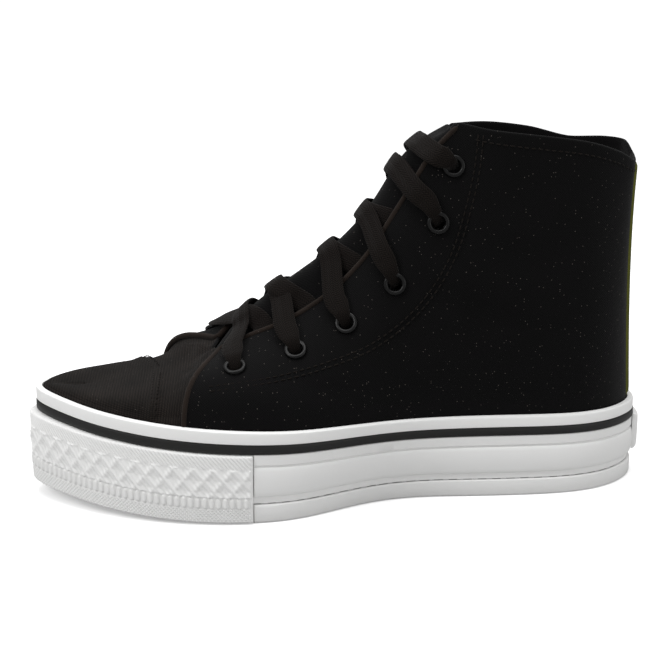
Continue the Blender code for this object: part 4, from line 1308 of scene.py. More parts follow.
    def insole(self, shop: Workshop, looks: Finishes) -> None:
        """Sock board inside the shoe.

        Args:
            shop: Makes the pieces.
            looks: The finishes.
        """
        side = FOXING_THICKNESS + WALL + 3.5 * GAP
        shares = self.shares()
        rows = []
        for depth, lift in ((0.0, GAP), (0.0, 0.0026), (0.0003, 0.0036), (0.0012, self.insole_thickness)):
            loop = self.plan.ring(shares, 1.0, side + depth)
            loop[:, 2] += lift - FOXING_LAP
            rows.append(loop)
        top = self.lid(rows[-1], 3, lambda points: np.zeros(points.shape[:2]))
        plan_view = top.points[..., :2].copy()
        shop.piece("sock_board", [Patch(np.array(rows), closed=True), Patch(top.points, uv=plan_view)],
                   [looks.insole.build()], ["insole"])

    def build(self, shop: Workshop, looks: Finishes) -> None:
        """Make every piece of the sole.

        Args:
            shop: Makes the pieces.
            looks: The finishes.
        """
        self.outsole(shop, looks)
        self.midsole(shop, looks)
        self.stripe(shop, looks)
        self.label(shop, looks)
        self.insole(shop, looks)
        Bumper(self.plan, self).build(shop, looks)


@dataclass
class Bumper:
    """Moulded relief of the rubber strip round the toe."""

    plan: Plan
    sole: Sole
    columns: int = 380
    rows: int = 96
    rib_pitch: float = 0.0017
    rib_height: float = 0.00045
    diamond_pitch: float = 0.0080
    diamond_height: float = 0.00095
    oval_pitch: float = 0.0028
    oval_height: float = 0.00075
    knurl_pitch: float = 0.0016
    knurl_height: float = 0.00042
    slant: float = 0.85
    # A finer wave on the diamonds: its height as a share of theirs, and its pitch in ribs
    fine_share: float = 0.35
    fine_pitch: float = 1.4
    # Half an oval's width and height, as shares of its pitch and of its band
    oval_reach: tuple[float, float] = (0.34, 0.42)
    # Distances from the strip's ends where its face and its relief rise, and the same at its
    # upper and lower edge as a share of the wall's height
    end_rise: float = 0.0007
    relief_start: float = 0.0006
    relief_rise: float = 0.0008
    edge_rise: float = 0.018
    # Levels between the knurl, the ovals, the diamonds and the ribs
    levels: tuple[float, float, float] = (0.165, 0.300, 0.600)

    def relief(self, along: Array, up: Array, level: Array) -> Array:
        """Height of the pattern.

        Args:
            along: Distance from the toe's middle.
            up: Height above the ground.
            level: The same height as a share of the wall.

        Returns:
            Height over the strip's plain face.
        """
        def wave(pitch: float, lean: float) -> Array:
            """A wave from 0 to 1 along the strip, leaning with the height."""
            return 0.5 + 0.5 * np.cos(2 * math.pi * (along + lean * up) / pitch)

        first, second, third = self.levels
        ribs = self.rib_height * wave(self.rib_pitch, self.slant)
        cross = np.maximum(wave(self.diamond_pitch, self.slant), wave(self.diamond_pitch, -self.slant))
        fine = self.fine_share * wave(self.rib_pitch * self.fine_pitch, self.slant)
        diamonds = self.diamond_height * (cross ** 2 + fine) / (1 + self.fine_share)
        beside = (along / self.oval_pitch) % 1 - 0.5
        middle = 0.5 * (first + second)
        over = (level - middle) / (second - first)
        oval = (beside / self.oval_reach[0]) ** 2 + (over / self.oval_reach[1]) ** 4
        ovals = self.oval_height * smooth_step((1.15 - oval) / 0.6)
        knurl = self.knurl_height * wave(self.knurl_pitch, 1.0) * wave(self.knurl_pitch, -1.0) * 1.6
        out = np.where(level > third, ribs, diamonds)
        out = np.where(level < second, ovals, out)
        return np.where(level < first, knurl, out)

    def build(self, shop: Workshop, looks: Finishes) -> None:
        """Make the strip as one relief with turned-in edges.

        Args:
            shop: Makes the pieces.
            looks: The finishes.
        """
        front = BUMPER_END + (1 - BUMPER_END) * np.linspace(0, 1, self.columns)
        shares = np.concatenate([front, front[-2::-1]])
        sides = np.array([Side.OUTER] * len(front) + [Side.INNER] * (len(front) - 1))
        top = STRIPE_LOW - 0.015
        levels = np.linspace(self.sole.bumper_low, top, self.rows)
        base = self.strip(shares, sides, 0.5, np.zeros(len(shares)))
        along = np.abs(run_length(base) - run_length(base)[len(front) - 1])
        towards_toe = np.clip((shares - BUMPER_END) / (1 - BUMPER_END), 0, 1) ** 3
        proud = self.sole.bumper_proud + (self.sole.bumper_toe_proud - self.sole.bumper_proud) * towards_toe
        from_end = along.max() - along
        ease = np.sqrt(np.clip(from_end / self.end_rise, 0, 1))
        seat = BUMPER_SEAT - GAP
        rows = [self.strip(shares, sides, levels[0], np.full(len(shares), seat))]
        for level in levels:
            edge = min(level - levels[0], levels[-1] - level) / self.edge_rise
            round_off = np.sqrt(np.clip(ease * min(1.0, 0.25 + edge), 0, 1))
            height = (base[:, 2] - self.plan.ground(base[:, 0])) * 2 * level
            relief = self.relief(along, height, np.full(len(along), level))
            plain = smooth_step((from_end - self.relief_start) / self.relief_rise) * min(1.0, edge)
            out = (proud - 0.0002) * round_off + relief * plain
            depth = np.where(from_end < 1e-9, seat, -out)
            rows.append(self.strip(shares, sides, level, depth))
        rows.append(self.strip(shares, sides, levels[-1], np.full(len(shares), seat)))
        shop.piece("toe_strip", [Patch(np.array(rows))], [looks.white.build()], ["toe_bumper"],
                   angle=75.0)

    def strip(self, shares: Array, sides: Array, level: float, depth: Array) -> Array:
        """One row of points round the toe at a level.

        Args:
            shares: Shares of the half outline.
            sides: The half that each share lies on.
            level: Share of the wall's height.
            depth: How far the points lie inside the plan.

        Returns:
            One point for each share.
        """
        points = np.empty((len(shares), 3))
        for side in Side:
            pick = sides == side
            points[pick] = self.plan.wall(side, shares[pick], level, depth[pick])
        return points


@dataclass(frozen=True)
class Crease:
    """A soft trough in the canvas, or a ridge where its depth is negative."""

    path: tuple[tuple[float, float, float], ...]
    width: float
    depth: float

    def sink(self, points: Array) -> Array:
        """How deep the crease presses each point in.

        Args:
            points: Points of the face.

        Returns:
            One depth for each point.
        """
        nearest = np.full(points.shape[:-1], 1.0)
        share = np.zeros(points.shape[:-1])
        spans = len(self.path) - 1
        for number, (first, last) in enumerate(zip(self.path, self.path[1:])):
            start, run = np.array(first), np.array(last) - np.array(first)
            along = np.clip(((points - start) @ run) / (run @ run), 0, 1)
            away = np.linalg.norm(points - start - along[..., None] * run, axis=-1)
            closer = away < nearest
            nearest = np.where(closer, away, nearest)
            share = np.where(closer, (number + along) / spans, share)
        fade = smooth_step(np.minimum(share, 1 - share) / 0.3 + 0.15)
        return self.depth * fade * np.exp(-(nearest / self.width) ** 2)


# Creases of the worn-in canvas, from the throat's bend, the ankle and the flex of the vamp
CREASES = (
    Crease(((0.020, -0.034, 0.098), (0.050, -0.034, 0.078), (0.085, -0.031, 0.070)), 0.0070, 0.0010),
    Crease(((0.030, -0.034, 0.118), (0.060, -0.034, 0.104), (0.095, -0.030, 0.100)), 0.0080, 0.0009),
    Crease(((0.045, 0.032, 0.112), (0.070, 0.033, 0.096), (0.100, 0.028, 0.090)), 0.0080, 0.0010),
    Crease(((0.015, 0.034, 0.092), (0.045, 0.034, 0.072), (0.080, 0.031, 0.064)), 0.0070, 0.0010),
    Crease(((-0.030, -0.043, 0.058), (-0.008, -0.042, 0.050), (0.020, -0.038, 0.046)), 0.0060, 0.0007),
    Crease(((-0.030, 0.041, 0.058), (-0.008, 0.039, 0.050), (0.020, 0.036, 0.046)), 0.0060, 0.0007),
    Crease(((-0.067, -0.020, 0.056), (-0.071, 0.000, 0.059), (-0.066, 0.022, 0.056)), 0.0032, 0.0009),
    Crease(((-0.062, -0.012, 0.061), (-0.064, 0.002, 0.062), (-0.060, 0.016, 0.060)), 0.0030, -0.0007),
    Crease(((-0.100, -0.030, 0.047), (-0.104, 0.004, 0.053), (-0.098, 0.034, 0.047)), 0.0080, 0.0006),
)


@dataclass
class Upper:
    """Canvas shell with its quarters, vamp, toe cap seam and binding."""

    halves: Sequence[Half]
    rows: int = 76
    lap_rows: int = 3
    vamp_step: float = 0.0013
    cap_step: float = 0.0005
    step_fade: float = 0.1
    seam_width: float = 0.30
    seam_height: float = 0.0009
    hole: float = 0.0036
    binding_radius: float = 0.00120
    # Rows over which the quarters' front edge steps down to the vamp
    front_span: float = 0.05
    # Rows from the toe cap's edge back to where its rise starts, the rise's length, and rows
    # back to the middle of the seam
    cap_start: float = 0.05
    cap_span: float = 0.08
    seam_start: float = 0.02
    # Climb over which creases fade in from the foot
    crease_fade: float = 0.25
    # Climb under the top edge over which creases fade, and the share of them left at it
    rim_fade: float = 0.08
    rim_share: float = 0.3
    # Columns of points from each row of the tables to the next
    columns: tuple[int, ...] = (8, 8, 8, 8, 8, 10) + (15,) * 7 + (8, 9, 9, 10, 10, 9, 8)

    def places(self) -> Array:
        """Fractional row numbers of the columns, doubled where the quarters' edge steps.

        Returns:
            The row numbers.
        """
        out = []
        for row, count in enumerate(self.columns):
            out += [row + step / count for step in range(count)]
            if row == THROAT_FRONT:
                out.insert(len(out) - count + 1, THROAT_FRONT + self.front_span)
        return np.array(out + [float(TOE_TIP)])

    def depth(self, u: Array) -> Array:
        """Depth of the vamp and the toe cap under the quarters' face.

        Args:
            u: Row numbers of the columns.

        Returns:
            One depth for each column.
        """
        quarter = smooth_step((u - THROAT_FRONT) / self.front_span)
        cap = smooth_step((u - CAP_EDGE + self.cap_start) / self.cap_span)
        seam = np.exp(-((u - CAP_EDGE + self.seam_start) / self.seam_width) ** 4)
        return quarter * self.vamp_step - cap * self.cap_step - self.seam_height * seam

    def faces(self, half: Half, seams: Sequence[Array], u: Array, t: Array) -> tuple[Array, Array, Array]:
        """Points of the outer and the inner face, and the outward directions.

        Args:
            half: The half of the upper.
            seams: Shared directions at the heel and at the toe.
            u: Row numbers of the columns.
            t: Climbs of the rows.

        Returns:
            Outer points, inner points and directions.
        """
        normal = half.normal(u, t)
        normal[u >= VAMP_REAR, -1] = np.array([0, 0, 1])
        normal[0], normal[-1] = seams
        fade = smooth_step(t / self.step_fade)
        flat = half.surface(u, t)
        sink = self.depth(u)[:, None] * fade
        for crease in CREASES:
            sink = sink + crease.sink(flat) * smooth_step(t / self.crease_fade)
        rim = smooth_step((1 - t) / self.rim_fade) * (1 - self.rim_share) + self.rim_share
        ease = np.where((u >= VAMP_REAR)[:, None], 1.0, rim[None, :])
        outer = flat - normal * (sink * ease)[..., None]
        return outer, outer - normal * WALL, normal

    def holes(self, half: Half, points: Array) -> Array:
        """True at points that lie under an eyelet's ring.

        Args:
            half: The half of the upper.
            points: Points of the outer face.

        Returns:
            One value for each point.
        """
        out = np.zeros(points.shape[:2], bool)
        for place in EYELETS:
            out |= np.linalg.norm(points - half.spot(place.row, place.climb), axis=-1) < self.hole
        return out

    def texture(self, half: Half, points: Array, u: Array) -> Array:
        """Texture positions: round and up the quarters, and from above on the vamp.

        Args:
            half: The half of the upper.
            points: Points of the outer face.
            u: Row numbers of the columns.

        Returns:
            Two values for each point.
        """
        middle = points[:, points.shape[1] // 3]
        along = np.broadcast_to(run_length(middle)[:, None], points.shape[:2])
        up = np.concatenate([np.zeros((len(u), 1)),
                             np.cumsum(np.linalg.norm(np.diff(points, axis=1), axis=2), axis=1)], axis=1)
        side = np.stack([along, up], axis=-1)
        drop = points[:, -1:, 2] - points[..., 2]
        above = np.stack([points[..., 0], points[..., 1] + half.side * drop], axis=-1)
        return np.where((u > THROAT_FRONT)[:, None, None], above, side)

    def build(self, shop: Workshop, looks: Finishes) -> None:
        """Make the shell, then its binding.

        Args:
            shop: Makes the pieces.
            looks: The finishes.
        """
        u = self.places()
        t = np.concatenate([np.linspace(-1, 0, self.lap_rows + 1)[:-1], np.linspace(0, 1, self.rows)])
        ends = np.array([0.0, float(TOE_TIP)])
        shared = unit(sum(half.normal(ends, t) for half in self.halves))
        front = int(np.searchsorted(u, THROAT_FRONT + self.front_span))
        rear = int(np.searchsorted(u, VAMP_REAR)) + 1
        patches = []
        for half in self.halves:
            outer, inner, normal = self.faces(half, shared, u, t)
            texture = self.texture(half, outer, u)
            holes = self.holes(half, outer)
            for slot, cut in ((0, slice(0, front + 1)), (1, slice(front, len(u)))):
                patches.append(Patch(outer[cut], texture[cut], slot=slot, holes=holes[cut]))
            patches.append(Patch(inner, texture, slot=2, holes=holes))
            rise = unit(outer[:rear, -1] - outer[:rear, -2])
            edge = rolled_edge(outer[:rear, -1], inner[:rear, -1], normal[:rear, -1], rise, WALL)
            patches.append(Patch(edge))
        shop.piece("canvas_upper", patches,
                   [looks.quarter.build(), looks.vamp.build(), looks.lining.build()],
                   ["upper"], angle=60.0)
        for half in self.halves:
            self.binding(shop, looks, half)

    def binding(self, shop: Workshop, looks: Finishes, half: Half) -> None:
        """Rolled tape along the throat's edge and down the quarter's front edge.

        Args:
            shop: Makes the pieces.
            looks: The finishes.
            half: The half of the upper.
        """
        stations = [(u, 1.0) for u in np.linspace(COLLAR_CORNER + 0.05, THROAT_FRONT - 0.1, 60)]
        stations += [(float(THROAT_FRONT), t) for t in np.linspace(0.97, -0.1, 40)]
        u, t = np.array(stations).T
        middles = half.spots(u, t, -0.0004)
        outward = half.normal(np.minimum(u, THROAT_FRONT - 0.05), np.minimum(t, 0.98)[:, None])[:, 0]
        name = f"binding_{half.side.name.lower()}"
        tube = Tube(middles, outward, self.binding_radius, 1.15 * self.binding_radius)
        shop.piece(name, [tube.patch()], [looks.binding.build()], ())


@dataclass
class Tube:
    """A rounded bead along a line of points."""

    middles: Array
    outward: Array
    width: float
    height: float
    sides: int = 12

    def patch(self) -> Patch:
        """The bead's skin, with tapered ends.

        Returns:
            The skin.
        """
        ahead = unit(np.gradient(self.middles, axis=0))
        beside = unit(np.cross(ahead, self.outward))
        over = np.cross(beside, ahead)
        turns = circle(self.sides)
        size = np.ones(len(self.middles))
        size[0] = size[-1] = 0.05
        ring = (self.width * np.cos(turns)[None, :, None] * beside[:, None]
                + self.height * np.sin(turns)[None, :, None] * over[:, None])
        points = self.middles[:, None] + ring * size[:, None, None]
        length = run_length(self.middles)
        around = turns * self.width
        uv = np.stack(np.meshgrid(around, length), axis=-1)
        return Patch(points, uv, closed=True)


@dataclass
class Tongue:
    """Canvas tongue under the laces."""

    throat: Throat
    thickness: float = 0.0028
    rows: int = 90
    # Length of the part under the vamp, and how fast it drops there
    apron: float = 0.012
    apron_drop: float = 0.12

    def build(self, shop: Workshop, looks: Finishes) -> None:
        """Make the tongue's faces and rounded edges, and run its front under the vamp.

        Args:
            shop: Makes the pieces.
            looks: The finishes.
        """
        u = np.linspace(THROAT_FRONT - 0.35, COLLAR_CORNER + 0.3, self.rows)
        outer = np.array(self.throat.lines(u))
        front = unit(outer[:, :1] - outer[:, 2:3])
        steps = np.linspace(self.apron, self.apron / 8, 8)[None, :, None]
        drop = np.array([0.0, 0.0, -self.apron_drop])
        apron = outer[:, :1] + (front + drop) * steps
        outer = np.concatenate([apron, outer], axis=1)
        along, over = np.gradient(outer, axis=1), np.gradient(outer, axis=0)
        out = unit(np.cross(along, over))
        out *= np.sign(out[len(out) // 2, :, 2].mean())
        inner = outer - out * self.thickness
        patches = [Patch(outer), Patch(inner, slot=1)]
        for line, last in ((np.s_[0], np.s_[1]), (np.s_[-1], np.s_[-2]), (np.s_[:, -1], np.s_[:, -2])):
            away = unit(outer[line] - outer[last])
            edge = rolled_edge(outer[line], inner[line], out[line], away, self.thickness)
            patches.append(Patch(edge))
        shop.piece("canvas_tongue", patches, [looks.quarter.build(), looks.lining.build()],
                   ["tongue"], angle=60.0)


@dataclass
class HeelStay:
    """Woven tape up the back of the upper."""

    halves: Sequence[Half]
    width: float = 0.0190
    thickness: float = 0.0010
    low: float = 0.005
    high: float = 0.985
    # Share of the climb over which the tape's ends turn in
    ease: float = 0.02
    rows: int = 60
    columns: int = 9

    def build(self, shop: Workshop, looks: Finishes) -> None:
        """Make the tape's face with its turned-in sides.

        Args:
            shop: Makes the pieces.
            looks: The finishes.
        """
        t = np.linspace(self.low, self.high, self.rows)
        near = np.linspace(0, 1.5, 61)
        shares = np.concatenate([np.linspace(1, 0, self.columns), np.linspace(0, 1, self.columns)[1:]])
        sides = [Side.OUTER] * self.columns + [Side.INNER] * (self.columns - 1)
        columns = []
        for share, side in zip(shares, sides):
            half = self.halves[0 if side is Side.OUTER else 1]
            face = half.surface(near, t)
            u = np.array([np.interp(share * self.width / 2, run_length(face[:, row]), near)
                          for row in range(self.rows)])
            ends = smooth_step(np.minimum(t - self.low, self.high - t) / self.ease)
            columns.append(half.spots(u, t, (GAP + self.thickness) * (1 - share ** 8) * ends))
        shop.piece("heel_tape", [Patch(np.array(columns))], [looks.stay.build()], ["heel_stay"])


@dataclass
class Eyelets:
    """Twelve lacquered rings, each rolled over the edge of its hole."""

    halves: Sequence[Half]
    diameter: float = 0.0094
    hole: float = 0.0058
    seat: float = 0.0005
    rise: float = 0.0009
    sides: int = 36

    def profile(self) -> list[tuple[float, float]]:
        """Pairs of radius and height from the ring's foot, over its roll and down the barrel.

        Returns:
            The pairs.
        """
        inner, outer = self.hole / 2, self.diameter / 2
        middle, reach = 0.5 * (inner + outer), 0.5 * (outer - inner)
        roll = [(middle + reach * math.cos(a), self.seat + self.rise * math.sin(a) ** 0.8)
                for a in np.linspace(0, math.pi, 11)]
        barrel = [(inner, -WALL), (inner + 0.0002, -WALL - 0.0004), (inner + 0.0011, -WALL - 0.0006)]
        return [(outer, 0.0)] + roll + barrel

    def build(self, shop: Workshop, looks: Finishes) -> None:
        """Make the rings of both halves.

        Args:
            shop: Makes the pieces.
            looks: The finishes.
        """
        finish = looks.metal.build()
        turns = circle(self.sides)
        for half, name in zip(self.halves, ("outer", "inner")):
            for number, place in enumerate(EYELETS, 1):
                middle, out = half.spot(place.row, place.climb), half.outward(place.row, place.climb)
                frame = np.array(Vector(out).to_track_quat("Z", "Y").to_matrix())
                rings = np.array([[(r * math.cos(a), r * math.sin(a), z) for a in turns]
                                  for r, z in self.profile()])
                shop.piece(f"ring_{name}_{number}", [Patch(middle + rings @ frame.T, closed=True)],
                           [finish], [f"eyelet_{name}_{number}"])


@dataclass(frozen=True)
class LaceStation:
    """A place that a lace passes, on a quarter or, where half is None, on the tongue's arch."""

    half: Half | None
    row: float
    place: float
    lift: float
    width: float
    thickness: float


@dataclass
class Laces:
    """One flat lace: five crossings and a bar at the top."""

    halves: Sequence[Half]
    throat: Throat
    width: float = 0.0092
    thickness: float = 0.0013
    landing: float = 0.55
    bulge: float = 0.0016
    bar_rise: float = 0.0010
    steps: int = 8
    # The half whose lace lies on top at each crossing, from the toe
    over: tuple[Side, ...] = (Side.OUTER, Side.INNER, Side.OUTER, Side.OUTER, Side.OUTER)
    # Share of the way from hole to edge, lift over the quarter and share of the full width
    climb: tuple[tuple[float, float, float], ...] = (
        (0.00, -0.0030, 0.56), (0.07, -0.0010, 0.58), (0.22, 0.0014, 0.72), (0.42, 0.0019, 0.96),
        (0.68, 0.0022, 1.00))
    # Shares of the way across where a crossing and the bar bend, and their lift off the tongue
    # where they come over the quarter's edge
    across: tuple[float, ...] = (0.26, 0.40, 0.55, 0.70, 0.82, 0.92)
    bar_across: tuple[float, ...] = (0.26, 0.38, 0.50, 0.62, 0.74)
    bridge: float = 0.0014
    bridge_span: float = 0.15
    # Lift off the tongue of a crossing and of the bar, and how far the upper run's bulge spreads
    lift: float = 0.0004
    bar_lift: float = 0.0006
    spread: float = 0.26
    # Where the end lies under the far edge: pairs of distance and share of the full width, with
    # its depth under the wall and its thickness there
    tuck: tuple[tuple[float, float], ...] = ((0.0015, 0.95), (0.0060, 0.90))
    tuck_depth: float = 0.00095
    tuck_thickness: float = 0.0008
    # Points round the lace's section, and how much thicker the lace is in its middle
    sides: int = 20
    crown: float = 0.10

    @staticmethod
    def row(place: EyeletPlace, landing: float, across: float) -> float:
        """Row of a lace part of the way over the tongue, by way of the crest."""
        rows = [place.edge, place.crest, landing]
        return float(monotone([0.0, 0.5, 1.0], rows, np.array([across]))[0])

    def from_hole(self, half: Half, place: EyeletPlace) -> list[LaceStation]:
        """Stations from inside an eyelet to the throat's edge beside it.

        Args:
            half: The half of the upper.
            place: The eyelet's place.

        Returns:
            The stations.
        """
        return [LaceStation(half, place.row + share * (place.edge - place.row),
                            place.climb + share * (1 - place.climb), lift,
                            self.width * wide, self.thickness)
                for share, lift, wide in self.climb]

    def crossing(self, half: Half, other: Half, place: EyeletPlace, landing: float,
                 rise: float) -> list[LaceStation]:
        """Stations from an eyelet across the tongue and under the far edge of the throat.

        Args:
            half: The half it starts on.
            other: The half it ends under.
            place: The eyelet's place.
            landing: Row where it goes under the far edge.
            rise: Extra lift at the crest.

        Returns:
            The stations.
        """
        out = self.from_hole(half, place)
        for across in self.across:
            row = self.row(place, landing, across)
            ride = rise * math.exp(-((across - 0.5) / self.spread) ** 4)
            ride += self.bridge * max(0.0, 1 - (across - self.across[0]) / self.bridge_span)
            share = across if half.side is Side.OUTER else 1 - across
            out.append(LaceStation(None, row, share, self.lift + ride, self.width, self.thickness))
        for reach, wide in self.tuck:
            climb = float(other.climb_under(np.array([landing]), reach)[0])
            out.append(LaceStation(other, landing, climb, -(WALL + self.tuck_depth),
                                   self.width * wide, self.tuck_thickness))
        return out

    def bar(self, place: EyeletPlace) -> list[LaceStation]:
        """Stations straight across from one top eyelet to its twin.

        Args:
            place: The eyelet's place.

        Returns:
            The stations.
        """
        first, last = (self.from_hole(half, place) for half in self.halves)
        middle = [LaceStation(None, self.row(place, place.edge, across), across,
                              self.bar_lift + self.bridge * abs(2 * across - 1) + self.bar_rise,
                              self.width, self.thickness) for across in self.bar_across]
        return first + middle + last[::-1]

    def position(self, station: LaceStation, shift: float = 0.0) -> Array:
        """Where the lace's underside passes a station, shifted along the throat.

        Args:
            station: The station.
            shift: Rows to shift by.

        Returns:
            The point.
        """
        row = station.row + shift
        if station.half is not None:
            return station.half.spot(row, station.place, station.lift)
        return self.throat.spot(row, station.place) + station.lift * self.throat.outward(row, station.place)

    def ribbon(self, stations: Sequence[LaceStation]) -> Patch:
        """The skin of a flat lace with rounded edges through its stations.

        Args:
            stations: The stations, in order.

        Returns:
            The skin.
        """
        rows = []
        middles = np.array([self.position(station) for station in stations])
        ahead = unit(np.gradient(middles, axis=0))
        for station, middle, forward in zip(stations, middles, ahead):
            width = self.position(station, 0.05) - self.position(station, -0.05)
            width = unit(width - forward * (width @ forward))
            rows.append(np.concatenate([middle, width, [station.width, station.thickness]]))
        fine = open_spline(np.array(rows), self.steps)
        middles, size = fine[:, :3], fine[:, 6:]
        ahead = unit(np.gradient(middles, axis=0))
        beside = fine[:, 3:6] - ahead * np.sum(fine[:, 3:6] * ahead, axis=1, keepdims=True)
        beside = unit(beside)
        over = np.cross(ahead, beside)
        over *= np.where(np.sum(over * self.facing(stations, len(fine)), axis=1, keepdims=True) < 0, -1, 1)
        turns = circle(self.sides)
        flat = np.sign(np.cos(turns)) * np.abs(np.cos(turns)) ** 0.5
        tall = np.sign(np.sin(turns)) * np.abs(np.sin(turns)) ** 0.9
        crown = self.crown * (1 - flat ** 2)
        side = flat[None, :, None] * size[:, :1, None] / 2 * beside[:, None]
        lift = ((tall + 1) / 2 + crown)[None, :, None] * size[:, 1:2, None] * over[:, None]
        points = middles[:, None] + side + lift
        uv = np.stack(np.broadcast_arrays((flat * 0.5 + 0.5)[None, :] * self.width,
                                          run_length(middles)[:, None]), axis=-1)
        return Patch(points, uv, closed=True)

    def facing(self, stations: Sequence[LaceStation], count: int) -> Array:
        """Rough outward directions along a lace.

        Args:
            stations: The stations, in order.
            count: Directions wanted.

        Returns:
            The directions.
        """
        out = [one.half.outward(one.row, one.place) if one.half is not None
               else self.throat.outward(one.row, one.place) for one in stations]
        at = np.linspace(0, len(out) - 1, count)
        return read_rows(at, np.arange(len(out)), np.array(out))

    def build(self, shop: Workshop, looks: Finishes) -> None:
        """Make the crossings and the top bar.

        Args:
            shop: Makes the pieces.
            looks: The finishes.
        """
        finish = looks.lace.build()
        outer, inner = self.halves
        for number, (place, above) in enumerate(zip(EYELETS, EYELETS[1:]), 1):
            landing = above.edge + self.landing
            runs = []
            for half, other in ((outer, inner), (inner, outer)):
                rise = self.bulge if half.side is self.over[number - 1] else 0.0
                runs.append(self.ribbon(self.crossing(half, other, place, landing, rise)))
            shop.piece(f"lace_crossing_{number}", runs, [finish], [f"lace_{number}"])
        bar = self.ribbon(self.bar(EYELETS[-1]))
        shop.piece("lace_bar", [bar], [finish], [f"lace_{len(EYELETS)}"])


class StitchRow(NamedTuple):
    """A knot of a line of stitches: its row of the tables and its climb up the section."""

    row: float
    climb: float


# The line of stitches behind the eyelets, from the collar to the foxing
EYESTAY_LINE = (
    StitchRow(5.30, 0.990), StitchRow(5.42, 0.850), StitchRow(5.75, 0.690), StitchRow(6.40, 0.540),
    StitchRow(7.40, 0.440), StitchRow(8.60, 0.400), StitchRow(9.90, 0.420), StitchRow(11.20, 0.400),
    StitchRow(12.70, 0.300),
)


@dataclass
class Stitching:
    """Rows of thread: behind the eyelets, across the toe cap and round the collar."""

    halves: Sequence[Half]
    length: float = 0.0020
    pitch: float = 0.0029
    radius: float = 0.00030
    twin: float = 0.0022
    # Rows of the double stitches over the toe cap's seam, and their lift over the vamp's face
    cap_rows: tuple[float, float] = (15.86, 16.10)
    cap_lift: float = 0.0
    # Climbs where those rows start and end, and the knots between
    cap_climbs: tuple[float, float] = (0.04, 0.93)
    cap_knots: int = 30
    collar_climb: float = 0.955
    collar_knots: int = 24
    lift: float = 0.0001
    # Stations of one stitch, and its thickness there, as shares of its length and radius
    stations: tuple[float, ...] = (0, 0.08, 0.3, 0.7, 0.92, 1.0)
    taper: tuple[float, ...] = (0.15, 0.75, 1.0, 1.0, 0.75, 0.15)
    sides: int = 6

    def line(self, half: Half, stations: Sequence[tuple[float, float]], lift: float) -> tuple[Array, Array]:
        """Points and outward directions along stations of row and climb."""
        u, t = np.array(stations, float).T
        return half.spots(u, t, lift), half.normal(u, t[:, None])[:, 0]

    def stitches(self, points: Array, outward: Array, offset: float = 0.0) -> list[Patch]:
        """Small capsules along a line, moved sideways over the face by an offset.

        Args:
            points: Points of the line.
            outward: Directions out of the face there.
            offset: Distance off the line.

        Returns:
            One patch for each stitch.
        """
        fine = open_spline(np.hstack([points, outward]), 12)
        middles, out = fine[:, :3], unit(fine[:, 3:])
        beside = unit(np.cross(unit(np.gradient(middles, axis=0)), out))
        middles = middles + beside * offset
        run = run_length(middles)
        turns, size = circle(self.sides), self.radius * np.array(self.taper)
        patches = []
        for start in np.arange(0.001, run[-1] - self.length, self.pitch):
            at = start + self.length * np.array(self.stations)
            centre, facing = read_rows(at, run, middles), read_rows(at, run, out)
            ahead = unit(np.gradient(centre, axis=0))
            across = unit(np.cross(ahead, facing))
            ring = (np.cos(turns)[None, :, None] * across[:, None]
                    + np.sin(turns)[None, :, None] * facing[:, None])
            patches.append(Patch(centre[:, None] + ring * size[:, None, None], closed=True))
        return patches

    def build(self, shop: Workshop, looks: Finishes) -> None:
        """Make every row of stitches as one object.

        Args:
            shop: Makes the pieces.
            looks: The finishes.
        """
        patches = []
        for half in self.halves:
            points, outward = self.line(half, EYESTAY_LINE, self.lift)
            for offset in (-self.twin / 2, self.twin / 2):
                patches += self.stitches(points, outward, offset)
            for row in self.cap_rows:
                across = [(row, t) for t in np.linspace(*self.cap_climbs, self.cap_knots)]
                patches += self.stitches(*self.line(half, across, self.cap_lift))
            rows = np.linspace(0.05, COLLAR_CORNER - 0.5, self.collar_knots)
            collar = [(u, self.collar_climb) for u in rows]
            patches += self.stitches(*self.line(half, collar, self.lift))
        shop.piece("stitches", patches, [looks.thread.build()], ())


class Lamp(NamedTuple):
    """A square soft light: where it stands, how wide it is and its power."""

    name: str
    place: tuple[float, float, float]
    size: float
    power: float


LAMPS = (
    Lamp("key", (-1.1, -0.5, 1.1), 0.6, 8.0),
    Lamp("top", (0.0, 0.1, 1.6), 1.4, 17.0),
    Lamp("fill", (1.0, -1.0, 0.6), 0.9, 3.0),
)


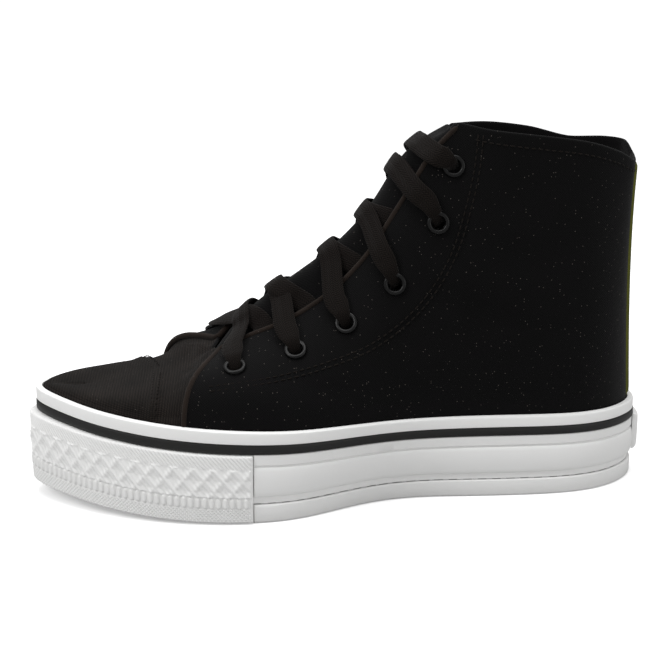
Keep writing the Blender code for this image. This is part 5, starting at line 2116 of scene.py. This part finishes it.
@dataclass
class Studio:
    """Camera, soft lights and a pale plain floor."""

    target: Vector
    azimuth: float = -9.0
    elevation: float = 14.5
    distance: float = 0.8
    sensor: float = 36.0
    # The fitted focal length is 1880 pixels on a picture of 660
    lens: float = 36.0 * 1880 / 660
    # The white surround's strength, as light and as the camera sees it
    surround: float = 0.50
    backdrop: float = 1.1
    reach: float = 0.8
    # The floor as the camera sees it, its glow there, and its colour for the light it throws back
    paper: str = "#fafafa"
    glow: float = 0.35
    bounce: str = "#b0b0b0"

    def camera(self) -> None:
        """Stand the camera at the photo's angle."""
        turn, rise = math.radians(self.azimuth), math.radians(self.elevation)
        away = Vector((math.sin(turn) * math.cos(rise), -math.cos(turn) * math.cos(rise), math.sin(rise)))
        data = bpy.data.cameras.new("camera")
        data.sensor_width = self.sensor
        data.lens = self.lens
        made = stand("camera", data)
        made.location = self.target + away * self.distance
        made.rotation_euler = away.to_track_quat("Z", "Y").to_euler()
        bpy.context.scene.camera = made

    def light(self, lamp: Lamp) -> None:
        """Stand a lamp so that it faces the shoe.

        Args:
            lamp: The lamp.
        """
        data = bpy.data.lights.new(lamp.name, "AREA")
        data.shape = "SQUARE"
        data.size = lamp.size
        data.energy = lamp.power
        made = stand(lamp.name, data)
        made.location = lamp.place
        made.rotation_euler = (Vector(lamp.place) - self.target).to_track_quat("Z", "Y").to_euler()

    def floor(self) -> None:
        """A wide pale floor."""
        mesh = bpy.data.meshes.new("floor")
        reach = self.reach
        mesh.from_pydata([(-reach, -reach, 0), (reach, -reach, 0), (reach, reach, 0), (-reach, reach, 0)],
                         [], [(0, 1, 2, 3)])
        nodes = Nodes("paper")
        seen = nodes.add("LightPath", output="Is Camera Ray")
        shade = nodes.mix(seen, linear(self.bounce), linear(self.paper))
        glow = nodes.math("MULTIPLY", seen, self.glow)
        mesh.materials.append(nodes.surface(Base_Color=shade, Roughness=0.95, Emission_Strength=glow,
                                            Emission_Color=(1.0, 1.0, 1.0, 1.0)))
        made = stand("floor", mesh)

    def world(self) -> None:
        """An even white surround."""
        world = bpy.data.worlds.new("surround")
        world.use_nodes = True
        shade = world.node_tree.nodes["Background"]
        shade.inputs["Color"].default_value = (1.0, 1.0, 1.0, 1.0)
        seen = world.node_tree.nodes.new("ShaderNodeLightPath").outputs["Is Camera Ray"]
        strength = world.node_tree.nodes.new("ShaderNodeMapRange")
        strength.inputs["To Min"].default_value = self.surround
        strength.inputs["To Max"].default_value = self.backdrop
        world.node_tree.links.new(seen, strength.inputs["Value"])
        world.node_tree.links.new(strength.outputs["Result"], shade.inputs["Strength"])
        bpy.context.scene.world = world
        bpy.context.scene.view_settings.view_transform = "Standard"

    def build(self) -> None:
        """Set the stage."""
        self.camera()
        for lamp in LAMPS:
            self.light(lamp)
        self.floor()
        self.world()


def main() -> None:
    """Dress the shoe."""
    logging.basicConfig(level=logging.INFO, format="%(message)s")
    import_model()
    plan = Plan()
    sole = Sole(plan)
    low, high = (np.array(corner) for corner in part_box("foxing_stripe"))
    line = sole.stripe_points().reshape(-1, 3)
    shop = Workshop(0.5 * (low + high) - 0.5 * (line.min(axis=0) + line.max(axis=0)))
    LOG.info("shift %s mm", np.round(shop.shift * 1000, 2))
    looks = Finishes()
    halves = (Half(Side.OUTER, plan, OUTER_SECTIONS), Half(Side.INNER, plan, INNER_SECTIONS))
    throat = Throat(halves)
    for part in (sole, Upper(halves), Tongue(throat), HeelStay(halves), Eyelets(halves),
                 Laces(halves, throat), Stitching(halves)):
        part.build(shop, looks)
    Studio(Vector(shop.shift + np.array(CAMERA_TARGET))).build()


if __name__ == "__main__":
    main()
